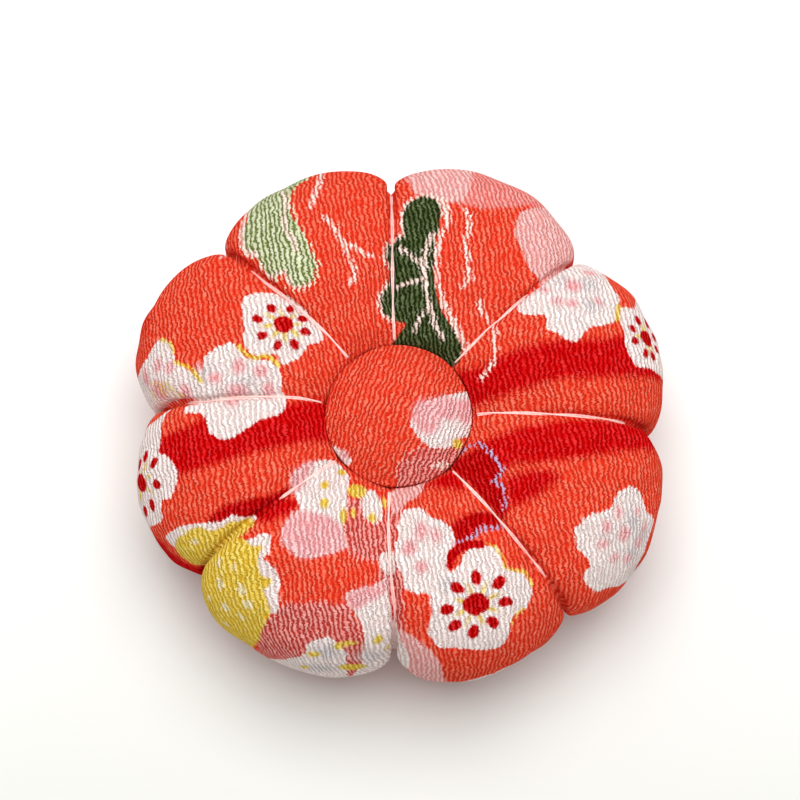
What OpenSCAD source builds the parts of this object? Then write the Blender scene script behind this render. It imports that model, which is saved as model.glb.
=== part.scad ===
// Wrist pin cushion: a stuffed crepe flower that a thread ties into petals, with a covered
// button sunk in its middle, a stiff base under it and an elastic wrist band folded flat below.
// Millimetres. +Z is up, and the origin lies on the button's axis, on the surface it rests on.

/* [Cushion] */
// Reach of a mean petal from the button's axis
petal_reach = 35.9; // [32:0.1:42]
// Height of the petals from their lowest line to their crown
cushion_t = 25; // [20:0.5:32]
// Radius of the line along which the petals are highest
crown_r = 19; // [16:0.5:22]
// Radius of the line along which the petals are lowest
foot_r = 25; // [22:0.5:28]
// Drop from the crown to the middle of the top
dimple_drop = 8; // [6:0.5:10]
// Distance over which the petals swell up round the button's edge
swell_w = 1.6; // [1.2:0.1:2.4]
// How full the petals are, where 2 is an ellipse
fullness = 2.25; // [2:0.05:2.8]
// Thickness of the crepe cover
cover_wall = 0.6; // [0.4:0.05:0.9]
// Radius of the hole in the top, under the button
hub_r = 2.6; // [2.4:0.1:3.4]
// Radius of the gathered mouth in the underside
mouth_r = 4.5; // [4:0.1:6]

/* [Dividing thread] */
// Diameter of the thread that divides the petals
thread_d = 0.6; // [0.4:0.05:0.8]
// How far the thread draws in the side between two petals, on average
groove_side = 4.6; // [3.5:0.1:5.5]
// How far it draws down the crown
groove_top = 1.6; // [1:0.1:2.4]
// How far it draws up the underside
groove_foot = 1.2; // [1:0.1:1.8]
// How far it draws down the edge of the hole under the button
groove_hub = 0.8; // [0.4:0.1:1.2]

/* [Button] */
// Diameter of the covered button
button_d = 18.8; // [15:0.1:22]
// How far the button's lower edge lies below the crown of the petals
button_sink = 4; // [2:0.1:4.5]
// Rise of the button's dome above its skirt
dome_rise = 3.2; // [2:0.1:4.5]
// Height of the straight skirt under the dome
skirt_h = 1; // [0.8:0.1:2]
// Thickness of the metal shell
shell_t = 0.4; // [0.3:0.05:0.6]
// Thickness of the fabric over the shell
button_cloth_t = 0.4; // [0.3:0.05:0.6]
// Width of the fabric turned in under the shell
hem_w = 1.6; // [1:0.1:3]
// Thickness of the back plate
back_t = 0.7; // [0.5:0.05:0.9]
// Diameter of the shank's wire
wire_d = 1; // [0.8:0.05:1.2]
// Inside radius of the shank's eye
eye_r = 1; // [0.9:0.05:1.3]
// Diameter of the tie thread under the button
tie_d = 0.9; // [0.7:0.05:1.1]
// Diameter of the knot at the tie thread's lower end
knot_d = 3.6; // [3:0.1:4.4]

/* [Base] */
// Radius of the felt disc
felt_r = 18; // [14:0.5:20]
// Thickness of the felt disc
felt_t = 1.2; // [0.8:0.1:2]
// Width of felt left around the stiff pin guard
guard_margin = 1; // [0.5:0.1:2]
// Thickness of the pin guard
guard_t = 1; // [0.8:0.1:1.6]

/* [Wrist band] */
// Width of the elastic
band_w = 18; // [12:0.5:22]
// Thickness of the elastic
band_t = 1.2; // [0.9:0.05:1.5]
// Gap between the two layers of the folded band
band_gap = 0.8; // [0.7:0.05:1.2]
// Length of the band when it is folded flat
band_flat = 62; // [54:0.5:66]
// Length of the stretch that is sewn to the base
sewn_l = 20; // [16:0.5:24]
// Length of each row of stitches across the band
bartack_l = 13; // [9:0.5:15]
// Distance of each row of stitches from the band's bend
bartack_inset = 3; // [2:0.1:5]

/* [Hidden] */
$fn = 64;

// The petals are tied by hand: where the thread runs on the side and at the button, in degrees,
// how its draw differs from the mean, and how the petal after it differs from the mean reach.
SIDE_ANGLES = [-0.7, 43.6, 91.8, 134.2, 175.8, 216.4, 268.9, 312];
BUTTON_ANGLES = [0.6, 43.8, 93.2, 130.2, 169.7, 216.8, 263.3, 313.4];
DRAW_DIFFERENCES = [-0.3, 0.8, -0.6, -0.2, 1, -0.8, 1.1, -1.2];
REACH_DIFFERENCES = [0.5, 1.1, 1, 1, -0.7, -1.9, -1.8, 0.2];
PETALS = len(SIDE_ANGLES);
COLUMNS_PER_PETAL = 5;
COLUMNS = PETALS * COLUMNS_PER_PETAL;
// How sharply a petal rounds over towards the thread
LOBE_POWER = 0.6;
// Shares of the drop at the button's edge that are left where the petals swell, and on their brow
SWELL_SHARE = 0.35;
BROW_SHARE = 0.07;
// Rows of points on the section of a petal: the dimple, the shoulder, the side and the underside
DIMPLE_ROWS = 5;
SHOULDER_ROWS = 4;
SIDE_ROWS = 3;
UNDER_ROWS = 2;
CROWN_ROW = DIMPLE_ROWS;
WAIST_ROW = CROWN_ROW + SHOULDER_ROWS;
FOOT_ROW = WAIST_ROW + SIDE_ROWS;
LAST_ROW = FOOT_ROW + UNDER_ROWS;
THREAD_SIDES = 6;

// Clearances
SOFT_GAP = 0.2;
REST_GAP = 0.3;
HINGE_GAP = 0.3;
STITCH_GAP = 0.05;
LINK_GAP = 0.1;
PLATE_GAP = 0.1;
TIE_SLACK = 0.2;

// Heights, from the surface up: the folded band, its lapped ends, the base and the cushion
upper_z = band_t + band_gap;
fold_r = band_t + band_gap / 2;
lap_z = upper_z + band_t;
felt_z = lap_z + band_t;
guard_z = felt_z + felt_t;
seat_z = guard_z + guard_t + SOFT_GAP;
foot_z = lap_z + 2 * SOFT_GAP;
crown_z = foot_z + cushion_t;
waist_z = foot_z + cushion_t / 2;

// The thread lies over the groove, clear of both walls
thread_lift = thread_d / 2 + REST_GAP;

// The button presses the petals down, and they swell up round its edge
button_r = button_d / 2;
shell_r = button_r - button_cloth_t;
hem_in_r = shell_r - hem_w;
button_z = crown_z - button_sink + button_cloth_t;
press_r = button_r + REST_GAP;
press_drop = button_sink + REST_GAP;
swell_r = press_r + swell_w;
DIMPLE_RADII = [hub_r, (hub_r + press_r) / 2, press_r, swell_r, (swell_r + crown_r) / 2, crown_r];
DIMPLE_DROPS = [dimple_drop, (dimple_drop + press_drop) / 2, press_drop, SWELL_SHARE * press_drop,
                BROW_SHARE * press_drop, 0];
ring_r = eye_r + wire_d / 2;
eye_z = button_z - ring_r + shell_t;
tie_ring_r = ring_r - TIE_SLACK;
tie_ring_z = eye_z - ring_r + wire_d / 2 + LINK_GAP + tie_d / 2 - tie_ring_r;
knot_hole_r = knot_d / 2 + REST_GAP;
tie_hole_r = tie_d / 2 + REST_GAP;

// The folded band: places of its bends along X
bend_x = sewn_l / 2;
fold_x = band_flat / 2 - fold_r;
STITCHES = 5;
STITCH_D = 0.6;
BARTACK_H = 0.35;
BARTACK_W = 1.4;
bartack_x = bend_x - bartack_inset;

// Point [r, z] on one row of a section of the cushion, drawn in at the hub, the crown and the foot
function section(row, reach, hub_in, top_in, foot_in) =
    row <= CROWN_ROW ?
        let (u = row / DIMPLE_ROWS)
        [DIMPLE_RADII[row], crown_z - DIMPLE_DROPS[row] - hub_in * (1 - u) - top_in * u] :
    row <= WAIST_ROW ?
        let (a = 90 * (WAIST_ROW - row) / SHOULDER_ROWS)
        [crown_r + (reach - crown_r) * pow(cos(a), 2 / fullness),
         waist_z + (crown_z - top_in - waist_z) * pow(sin(a), 2 / fullness)] :
    row <= FOOT_ROW ?
        let (a = 90 * (row - WAIST_ROW) / SIDE_ROWS)
        [foot_r + (reach - foot_r) * pow(cos(a), 2 / fullness),
         waist_z - (waist_z - foot_z - foot_in) * pow(sin(a), 2 / fullness)] :
        [row == LAST_ROW ? mouth_r : felt_r + 2 * REST_GAP, seat_z + foot_in];

// Section through the middle of a petal, and along the thread beside it, both taken in by inset
function petal_point(row, petal, inset) =
    section(row, petal_reach + REACH_DIFFERENCES[petal] - inset, inset, inset, inset);
function groove_point(row, groove, inset) =
    let (before = REACH_DIFFERENCES[(groove + PETALS - 1) % PETALS],
         after = REACH_DIFFERENCES[groove % PETALS],
         draw = groove_side + DRAW_DIFFERENCES[groove % PETALS])
    section(row, petal_reach + (before + after) / 2 - draw - inset,
            groove_hub + inset, groove_top + inset, groove_foot + inset);

// Direction of a thread at a distance from the axis: it swings from the button's edge to the side
function groove_angle(groove, r) =
    let (k = groove % PETALS,
         out = min(max((r - press_r) / (foot_r - press_r), 0), 1))
    BUTTON_ANGLES[k] + (SIDE_ANGLES[k] - BUTTON_ANGLES[k]) * out + 360 * floor(groove / PETALS);
function lobe(across) = pow(cos(90 * abs(across)), LOBE_POWER);

// Point of the lobed surface on a row and a column round the axis
function cushion_point(row, column, inset) =
    let (petal = floor(column / COLUMNS_PER_PETAL),
         share = (column % COLUMNS_PER_PETAL) / COLUMNS_PER_PETAL,
         across = 2 * share - 1,
         low = groove_point(row, across < 0 ? petal : petal + 1, inset),
         high = petal_point(row, petal, inset),
         p = low + (high - low) * lobe(across),
         angle = groove_angle(petal, p[0]) * (1 - share) + groove_angle(petal + 1, p[0]) * share)
    [p[0] * cos(angle), p[0] * sin(angle), p[1]];

// Triangles of a grid that is closed both ways, with loop points in each column. From the turn on,
// where the loop comes back along an inner wall, the diagonals lie the other way.
function closed_grid(columns, loop, turn) =
    [for (c = [0:columns - 1]) for (j = [0:loop - 1])
        let (a = c * loop + j,
             b = c * loop + (j + 1) % loop,
             d = (c + 1) % columns * loop + j,
             e = (c + 1) % columns * loop + (j + 1) % loop)
        each j < turn ? [[a, e, b], [a, d, e]] : [[a, d, b], [b, d, e]]];

// Solid swept round the axis from a closed loop of points in each column
module ring_solid(loops, turn) {
    polyhedron(points = [for (l = loops) each l],
               faces = closed_grid(len(loops), len(loops[0]), turn));
}

// Tube of a few sides through rings of points, closed at both ends
module tube_solid(rings) {
    sides = len(rings[0]);
    last = len(rings) - 1;
    polyhedron(
        points = [for (ring = rings) each ring],
        faces = concat(
            [for (i = [0:last - 1]) for (j = [0:sides - 1])
                let (k = (j + 1) % sides)
                each [[i * sides + j, i * sides + k, (i + 1) * sides + k],
                      [i * sides + j, (i + 1) * sides + k, (i + 1) * sides + j]]],
            [for (j = [1:sides - 2]) [0, j + 1, j]],
            [for (j = [1:sides - 2]) [last * sides, last * sides + j, last * sides + j + 1]]));
}

module cushion_cover()
    color([0.91, 0.25, 0.16])
    ring_solid([for (c = [0:COLUMNS - 1]) concat(
        [for (row = [0:LAST_ROW]) cushion_point(row, c, 0)],
        [for (row = [LAST_ROW:-1:0]) cushion_point(row, c, cover_wall)])], LAST_ROW + 1);

module stuffing()
    color("ivory")
    ring_solid([for (c = [0:COLUMNS - 1])
        [for (row = [0:LAST_ROW]) cushion_point(row, c, cover_wall + REST_GAP)]], LAST_ROW + 1);

// Path of the thread in one groove: its points [r, z] and the way out of the cushion there
function thread_normal(row, groove) =
    let (a = groove_point(max(row - 1, 0), groove, 0),
         b = groove_point(min(row + 1, LAST_ROW), groove, 0),
         along = (b - a) / norm(b - a))
    [-along[1], along[0]];
function thread_ring(row, groove) =
    let (n = thread_normal(row, groove),
         p = groove_point(row, groove, 0) + thread_lift * n,
         angle = groove_angle(groove, p[0]))
    [for (j = [0:THREAD_SIDES - 1])
        let (a = 360 * j / THREAD_SIDES,
             out = thread_d / 2 * cos(a),
             side = thread_d / 2 * sin(a),
             r = p[0] + out * n[0])
        [r * cos(angle) - side * sin(angle), r * sin(angle) + side * cos(angle), p[1] + out * n[1]]];

module dividing_thread()
    color([0.98, 0.82, 0.8])
    for (groove = [0:PETALS - 1])
        tube_solid([for (row = [0:LAST_ROW]) thread_ring(row, groove)]);

// Drawstring that closes the mouth of the cover
module gathering_thread()
    color([0.98, 0.82, 0.8])
    translate([0, 0, seat_z + groove_foot / 2])
    rotate_extrude()
    translate([mouth_r - thread_d / 2 - REST_GAP, 0])
    circle(d = thread_d);

// Tie from a knot under the pin guard up to a loop through the button's eye
module tie_thread()
    color("ivory") {
        knot_h = felt_t - 2 * PLATE_GAP;
        translate([0, 0, felt_z + PLATE_GAP])
        cylinder(d = knot_d, h = knot_h);
        translate([0, 0, felt_z + PLATE_GAP + knot_h / 2])
        cylinder(d = tie_d, h = tie_ring_z - tie_ring_r - felt_z - PLATE_GAP - knot_h / 2);
        translate([0, 0, tie_ring_z])
        rotate([0, 90, 0])
        rotate_extrude()
        translate([tie_ring_r, 0])
        circle(d = tie_d);
    }

// Half profile of a dome on a straight skirt, for a rim radius and a height over the skirt
module dome_profile(r, rise, skirt) {
    sphere_r = (r * r + rise * rise) / (2 * rise);
    intersection() {
        translate([0, skirt + rise - sphere_r]) circle(sphere_r, $fn = 128);
        square([r, skirt + rise]);
    }
    square([r, skirt]);
}

module button_cover()
    color([0.92, 0.27, 0.17])
    translate([0, 0, button_z])
    rotate_extrude() {
        difference() {
            dome_profile(button_r, dome_rise + button_cloth_t, skirt_h);
            dome_profile(shell_r, dome_rise, skirt_h);
        }
        translate([hem_in_r, -button_cloth_t])
        square([button_r - hem_in_r, button_cloth_t]);
    }

module button_shell()
    color("silver")
    translate([0, 0, button_z])
    rotate_extrude()
    difference() {
        dome_profile(shell_r, dome_rise, skirt_h);
        dome_profile(shell_r - shell_t, dome_rise - shell_t, skirt_h);
    }

module button_back()
    color("gainsboro")
    translate([0, 0, button_z + PLATE_GAP])
    cylinder(r = shell_r - shell_t - PLATE_GAP, h = back_t);

module button_shank()
    color("silver")
    translate([0, 0, eye_z]) {
        rotate([90, 0, 0])
        rotate([0, 0, 180])
        rotate_extrude(angle = 180)
        translate([ring_r, 0])
        circle(d = wire_d);
        for (side = [-1, 1])
            translate([side * ring_r, 0, 0])
            cylinder(d = wire_d, h = button_z + PLATE_GAP - eye_z);
    }

// Half profile of a disc whose edge is rounded over its whole thickness
module rounded_disc_profile(r, t, hole) {
    translate([hole, 0]) square([r - t / 2 - hole, t]);
    translate([r - t / 2, t / 2]) circle(d = t);
}

module pin_guard()
    color("whitesmoke")
    translate([0, 0, guard_z])
    rotate_extrude()
    rounded_disc_profile(felt_r - guard_margin, guard_t, tie_hole_r);

// Places something at every stitch that fastens the band to the felt
module at_stitches()
    for (side = [-1, 1], i = [0:STITCHES - 1])
        translate([side * bartack_x, (i / (STITCHES - 1) - 0.5) * (bartack_l - BARTACK_W), 0])
        children();

module stitch_holes()
    at_stitches()
    translate([0, 0, upper_z - band_t])
    cylinder(d = STITCH_D + 2 * STITCH_GAP, h = guard_z - upper_z + 2 * band_t, $fn = 24);

module base_felt()
    color([0.72, 0.1, 0.1])
    difference() {
        translate([0, 0, felt_z]) cylinder(r = felt_r, h = felt_t);
        translate([0, 0, felt_z - felt_t]) cylinder(r = knot_hole_r, h = 3 * felt_t);
        stitch_holes();
    }

module band_slab(x0, x1, z)
    translate([x0, -band_w / 2, z]) cube([x1 - x0, band_w, band_t]);

// Bar across the whole band
module across_band(x, z, r)
    translate([x, band_w / 2, z]) rotate([90, 0, 0]) cylinder(r = r, h = band_w);

// Room that the end of a stretch leaves for the bend it hangs on
module bend_room(x, z, r)
    translate([x, band_w, z]) rotate([90, 0, 0]) cylinder(r = r + HINGE_GAP, h = 2 * band_w);

// Stretch between two bends, with rounded ends
module straight_run(z) {
    band_slab(-bend_x, bend_x, z);
    for (side = [-1, 1])
        across_band(side * bend_x, z + band_t / 2, band_t / 2);
}

// Top stretch, where the two ends of the elastic are lapped and sewn to the felt
module band_sewn_run()
    color("ivory")
    difference() {
        union() {
            straight_run(upper_z);
            band_slab(-bend_x + band_t, bend_x - band_t, lap_z);
        }
        stitch_holes();
    }

module band_bartacks()
    color("white") {
        for (side = [-1, 1])
            translate([side * bartack_x - BARTACK_W / 2, -bartack_l / 2, upper_z - BARTACK_H])
            cube([BARTACK_W, bartack_l, BARTACK_H]);
        at_stitches()
        translate([0, 0, upper_z - BARTACK_H / 2])
        cylinder(d = STITCH_D, h = guard_z - upper_z + BARTACK_H / 2, $fn = 24);
    }

module band_bottom_run()
    color("ivory")
    straight_run(0);

// Upper side stretch on the left: it hangs on the sewn run and ends in the fold
module upper_side() {
    difference() {
        band_slab(-fold_x, -bend_x, upper_z);
        bend_room(-bend_x, upper_z + band_t / 2, band_t / 2);
    }
    across_band(-fold_x, fold_r, fold_r);
}

// Lower side stretch on the left: it hangs on the fold and carries the bottom run
module lower_side()
    difference() {
        band_slab(-fold_x, -bend_x, 0);
        bend_room(-fold_x, fold_r, fold_r);
        bend_room(-bend_x, band_t / 2, band_t / 2);
    }

module band_left_upper() color("ivory") upper_side();
module band_left_lower() color("ivory") lower_side();
module band_right_upper() color("ivory") mirror([1, 0, 0]) upper_side();
module band_right_lower() color("ivory") mirror([1, 0, 0]) lower_side();

cushion_cover();
stuffing();
dividing_thread();
gathering_thread();
tie_thread();
button_cover();
button_shell();
button_back();
button_shank();
pin_guard();
base_felt();
band_sewn_run();
band_bartacks();
band_left_upper();
band_left_lower();
band_bottom_run();
band_right_upper();
band_right_lower();
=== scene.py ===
"""Dresses the wrist pin cushion: printed crepe petals, dividing thread, covered button, base and band."""

import math

import bpy
import numpy as np
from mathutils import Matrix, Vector


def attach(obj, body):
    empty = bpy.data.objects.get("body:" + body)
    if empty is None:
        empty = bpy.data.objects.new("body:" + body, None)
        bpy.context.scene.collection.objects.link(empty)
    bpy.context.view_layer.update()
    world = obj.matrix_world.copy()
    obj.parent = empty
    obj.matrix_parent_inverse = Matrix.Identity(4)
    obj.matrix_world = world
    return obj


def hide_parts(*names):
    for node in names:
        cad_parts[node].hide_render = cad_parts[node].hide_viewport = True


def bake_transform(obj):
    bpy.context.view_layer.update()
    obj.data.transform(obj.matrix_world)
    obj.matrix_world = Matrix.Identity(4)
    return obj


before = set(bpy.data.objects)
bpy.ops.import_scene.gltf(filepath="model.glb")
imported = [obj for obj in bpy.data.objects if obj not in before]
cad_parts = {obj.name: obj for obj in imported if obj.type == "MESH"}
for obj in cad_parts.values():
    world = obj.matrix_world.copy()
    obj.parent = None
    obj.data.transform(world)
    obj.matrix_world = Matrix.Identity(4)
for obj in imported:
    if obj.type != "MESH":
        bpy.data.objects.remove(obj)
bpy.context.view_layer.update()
scene = bpy.context.scene
MM = 0.001

# Camera: where the photograph was taken from, in millimetres and photograph pixels
CAMERA_ELEVATION = math.radians(76)
CAMERA_DISTANCE = 380
CAMERA_AIM = np.array([0.2, 4.34, 16.7])
TO_CAMERA = np.array([0, -math.cos(CAMERA_ELEVATION), math.sin(CAMERA_ELEVATION)])
CAMERA_UP = np.array([0, math.sin(CAMERA_ELEVATION), math.cos(CAMERA_ELEVATION)])
PHOTO_PX = 800
PX_PER_MM = 7.571
SENSOR_MM = 36
CLIP_START_MM = 10

# Threads and petals: one value for each, in degrees and millimetres
SIDE_ANGLES = (-0.7, 43.6, 91.8, 134.2, 175.8, 216.4, 268.9, 312.0)
BUTTON_ANGLES = (0.6, 43.8, 93.2, 130.2, 169.7, 216.8, 263.3, 313.4)
DRAWS = (4.3, 5.4, 4.0, 4.4, 5.6, 3.8, 5.7, 3.4)
PETAL_REACHES = (36.4, 37.0, 36.9, 36.9, 35.2, 34.0, 34.1, 36.1)
PETALS = len(PETAL_REACHES)

# Form of the cushion in millimetres, with two powers for how full it is. The hollow round the button is a
# curve through distances from the axis and drops below the crown.
FOOT_Z, CROWN_Z, SEAT_Z = 3.6, 28.6, 6.8
WAIST_Z = (FOOT_Z + CROWN_Z) / 2
HUB_R, PRESS_R, CROWN_R = 2.6, 9.7, 19.0
FOOT_R, BASE_EDGE_R, MOUTH_R = 25.0, 18.6, 4.5
DIMPLE_R = (HUB_R, 6.15, 8.6, 9.43, 9.44, 9.75, 10.7, 12.5, 15.3, CROWN_R)
DIMPLE_DROP = (8.0, 6.3, 5.2, 4.0, 2.7, 2.15, 1.45, 0.65, 0.18, 0.0)
FULLNESS = 2.25
LOBE_POWER = 0.6
GROOVE_TOP, GROOVE_FOOT, GROOVE_HUB = 1.6, 1.2, 0.8

# Fineness of the cushion's mesh, with columns drawn together towards the threads
COLUMNS_PER_PETAL = 108
GATHER = 0.08
HIDDEN_ROWS, DIMPLE_ROWS, SHOULDER_ROWS, SIDE_ROWS, UNDER_ROWS = 8, 42, 74, 56, 44
DIMPLE_STEPS = 400
HIDDEN_R = 9.0

# Creases under the threads and swellings beside them in millimetres, the share of a petal's width over which
# they fade, and lumps of the stuffing
CREASES_MM = (0.4, 0.4, 0.6, 0.6, 0.5, 0.4, 0.4, 0.5)
PUFFS_BEFORE = (0.3, 0.5, 0.4, 0.5, 0.3, 0.2, 0.3, 0.4)
PUFFS_AFTER = (0.3, 0.5, 0.4, 0.5, 0.3, 1.3, 0.3, 0.4)
PUFF_WIDTHS = (2.0, 2.0, 2.0, 2.0, 2.0, 3.6, 2.0, 2.0)
PUFF_FULL, PUFF_END = 0.25, 0.5
CREASE_W, CREASE_FROM_R, CREASE_FULL_R = 0.45, 12.0, 25.0
LUMP_MM, LUMP_WAVES, LUMP_LENGTHS_MM = 0.1, 14, (4.0, 9.0)
LUMP_FROM_R, LUMP_FULL_R = 9.6, 12.0


def unit(vectors):
    """The same directions with a length of 1."""
    return vectors / np.linalg.norm(vectors, axis=-1, keepdims=True)


def lengths(path):
    """How far each point of a path is from its start, along the path."""
    return np.concatenate([[0], np.cumsum(np.linalg.norm(np.diff(path, axis=0), axis=1))])


def round_angles(count):
    """Angles that share a full turn evenly."""
    return 2 * math.pi * np.arange(count) / count


def polar(r, angle):
    return np.stack([r * np.cos(angle), r * np.sin(angle)], -1)


def upright(r, angle, z):
    return np.stack([r * np.cos(angle), r * np.sin(angle), z], -1)


def ease(value, start, end):
    """0 at the start and 1 at the end, with a soft step between."""
    t = np.clip((value - start) / (end - start), 0, 1)
    return t * t * (3 - 2 * t)


def hermite(xs, ys, x):
    """Smooth curve through a few points, read at x."""
    xs, ys, x = np.asarray(xs, float), np.asarray(ys, float), np.asarray(x, float)
    slope = np.gradient(ys, xs)
    i = np.clip(np.searchsorted(xs, x) - 1, 0, len(xs) - 2)
    h = xs[i + 1] - xs[i]
    t = (x - xs[i]) / h
    return ((1 + 2 * t) * (1 - t) ** 2 * ys[i] + t * (1 - t) ** 2 * h * slope[i]
            + t * t * (3 - 2 * t) * ys[i + 1] + t * t * (t - 1) * h * slope[i + 1])


def dimple_curve():
    """Distances from the axis, and drops below the crown, from under the button up its edge to the crown."""
    mark = np.arange(len(DIMPLE_R))
    fine = np.linspace(0, mark[-1], DIMPLE_STEPS)
    curve = np.stack([hermite(mark, DIMPLE_R, fine), hermite(mark, DIMPLE_DROP, fine)], 1)
    along = lengths(curve)
    hidden = along[np.argmax(curve[:, 0] > HIDDEN_R)]
    at = np.concatenate([np.linspace(0, hidden, HIDDEN_ROWS, endpoint=False),
                         np.linspace(hidden, along[-1], DIMPLE_ROWS + 1)])
    return np.interp(at, along, curve[:, 0]), np.interp(at, along, curve[:, 1])


def bulge(angles):
    """Shares out and up along a full, rounded quarter."""
    return np.abs(np.cos(angles)) ** (2 / FULLNESS), np.abs(np.sin(angles)) ** (2 / FULLNESS)


def section(reach, hub_in=0.0, top_in=0.0, foot_in=0.0):
    """Points (r, z) down a section of the cushion, from the hole under the button to the mouth below."""
    r, drop = dimple_curve()
    u = (r - HUB_R) / (CROWN_R - HUB_R)
    dimple = np.stack([r, CROWN_Z - drop - hub_in * (1 - u) - top_in * u], 1)
    out, up = bulge(np.linspace(math.pi / 2, 0, SHOULDER_ROWS + 1)[1:])
    shoulder = np.stack([CROWN_R + (reach - CROWN_R) * out, WAIST_Z + (CROWN_Z - top_in - WAIST_Z) * up], 1)
    out, down = bulge(np.linspace(0, math.pi / 2, SIDE_ROWS + 1)[1:])
    side = np.stack([FOOT_R + (reach - FOOT_R) * out, WAIST_Z - (WAIST_Z - FOOT_Z - foot_in) * down], 1)
    r = np.linspace(FOOT_R, MOUTH_R, UNDER_ROWS + 1)[1:]
    under = np.stack([r, FOOT_Z + foot_in + (SEAT_Z - FOOT_Z) * ease(r, FOOT_R, BASE_EDGE_R)], 1)
    return np.concatenate([dimple, shoulder, side, under])


def groove_section(groove):
    reach = (PETAL_REACHES[groove - 1] + PETAL_REACHES[groove % PETALS]) / 2
    return section(reach - DRAWS[groove], GROOVE_HUB, GROOVE_TOP, GROOVE_FOOT)


def groove_angle(groove, r):
    """Direction of a thread at a distance from the axis, in radians: it swings from button to side."""
    k, turns = groove % PETALS, groove // PETALS
    out = np.clip((r - PRESS_R) / (FOOT_R - PRESS_R), 0, 1)
    return np.radians(BUTTON_ANGLES[k] + (SIDE_ANGLES[k] - BUTTON_ANGLES[k]) * out + 360 * turns)


def lobe(across):
    return np.abs(np.cos(math.pi / 2 * across)) ** LOBE_POWER


def fold(groove, r, angle):
    """How far the petals puff out beside a taut thread, less how deep it cuts into them, in millimetres."""
    k = groove % PETALS
    turn = angle - groove_angle(groove, r)
    gap = r * np.abs(turn)
    out = gap / PUFF_WIDTHS[k]
    puff = np.where(turn < 0, PUFFS_BEFORE[k], PUFFS_AFTER[k]) * out * np.exp(1 - out)
    return ease(r, CREASE_FROM_R, CREASE_FULL_R) * (puff - CREASES_MM[k] * np.exp(-(gap / CREASE_W) ** 2))


def cushion_grid():
    """Points of the cushion in columns round the axis, its folds beside the threads, and the flat cloth."""
    points, folds, cloth = [], [], []
    steps = np.arange(COLUMNS_PER_PETAL) / COLUMNS_PER_PETAL
    for petal in range(PETALS):
        crest = section(PETAL_REACHES[petal])
        grooves = groove_section(petal), groove_section((petal + 1) % PETALS)
        for share in steps - GATHER * np.sin(2 * math.pi * steps):
            low = grooves[0] if share < 0.5 else grooves[1]
            profile = low + (crest - low) * lobe(2 * share - 1)
            r, z = profile.T
            angle = groove_angle(petal, r) * (1 - share) + groove_angle(petal + 1, r) * share
            points.append(upright(r, angle, z))
            beside = 1 - ease(min(share, 1 - share), PUFF_FULL, PUFF_END)
            folds.append(beside * fold(petal + round(share), r, angle))
            cloth.append(polar(HUB_R + lengths(profile), angle))
    return np.array(points), np.array(folds), np.array(cloth)


def grid_normals(points):
    """Outward normals of a grid that closes round the axis."""
    round_axis = np.roll(points, -1, 0) - np.roll(points, 1, 0)
    down = np.gradient(points, axis=1)
    return unit(np.cross(down, round_axis))


def lumps(points, seed):
    """Slight unevenness of a stuffed form, in millimetres."""
    random = np.random.default_rng(seed)
    total = np.zeros(points.shape[:-1])
    for _ in range(LUMP_WAVES):
        direction = random.normal(size=3)
        direction *= 2 * math.pi / np.linalg.norm(direction) / random.uniform(*LUMP_LENGTHS_MM)
        total += np.sin(points @ direction + random.uniform(0, 2 * math.pi))
    return LUMP_MM * total / math.sqrt(LUMP_WAVES / 2)


# Meshes

TUBE_GUIDE = (0.31, 0.17, 0.93)


def new_object(name, vertices, faces, smooth=True):
    mesh = bpy.data.meshes.new(name)
    mesh.from_pydata([tuple(v) for v in vertices], [], faces)
    mesh.validate()
    if smooth:
        mesh.shade_smooth()
    obj = bpy.data.objects.new(name, mesh)
    scene.collection.objects.link(obj)
    return obj


def ring_faces(columns, rows):
    """Quads of a grid of columns that closes on itself.

    They face out where the columns turn left and the rows go down.
    """
    return [(c * rows + j, c * rows + j + 1, (c + 1) % columns * rows + j + 1, (c + 1) % columns * rows + j)
            for c in range(columns) for j in range(rows - 1)]


def loft_faces(rings, sides):
    """Quads between closed rings of points that follow each other, and a cap on each end."""
    faces = []
    for low in range(0, (rings - 1) * sides, sides):
        high = low + sides
        for j in range(sides):
            k = (j + 1) % sides
            faces.append((low + j, low + k, high + k, high + j))
    last = (rings - 1) * sides
    return faces + [tuple(range(sides))[::-1], tuple(range(last, last + sides))]


def add_uv(obj, name, per_vertex):
    layer = obj.data.uv_layers.new(name=name)
    index = np.empty(len(obj.data.loops), np.int32)
    obj.data.loops.foreach_get("vertex_index", index)
    layer.uv.foreach_set("vector", np.asarray(per_vertex, np.float32)[index].ravel())


def add_field(obj, name, per_vertex):
    attribute = obj.data.attributes.new(name, "FLOAT", "POINT")
    attribute.data.foreach_set("value", np.asarray(per_vertex, np.float32))


def resampled(path, step):
    """The same path with points a fixed step apart."""
    along = lengths(path)
    at = np.linspace(0, along[-1], int(along[-1] / step) + 1)
    return np.stack([np.interp(at, along, axis) for axis in path.T], 1)


def tube(path, radius, sides):
    """Vertices and faces of a round tube along a path, closed at both ends."""
    along = unit(np.gradient(path, axis=0))
    a = unit(np.cross(along, TUBE_GUIDE))
    b = np.cross(along, a)
    turn = round_angles(sides)[:, None]
    rings = path[:, None] + radius * (a[:, None] * np.cos(turn) + b[:, None] * np.sin(turn))
    return rings.reshape(-1, 3), loft_faces(len(path), sides)


def joined(parts):
    """One list of vertices and one of faces from several."""
    vertices, faces, start = [], [], 0
    for points, polygons in parts:
        vertices.append(points)
        faces += [tuple(start + i for i in polygon) for polygon in polygons]
        start += len(points)
    return np.concatenate(vertices), faces


# Print of the crepe, from the lowest layer up: the colour (8-bit sRGB), the softness of its edge in
# millimetres, and how much further it reaches on the crests of the crepe than in the valleys. The crest
# highlights are painted highlight: lighter colours on the crests alone, over the rose and the sage leaf.

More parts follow.
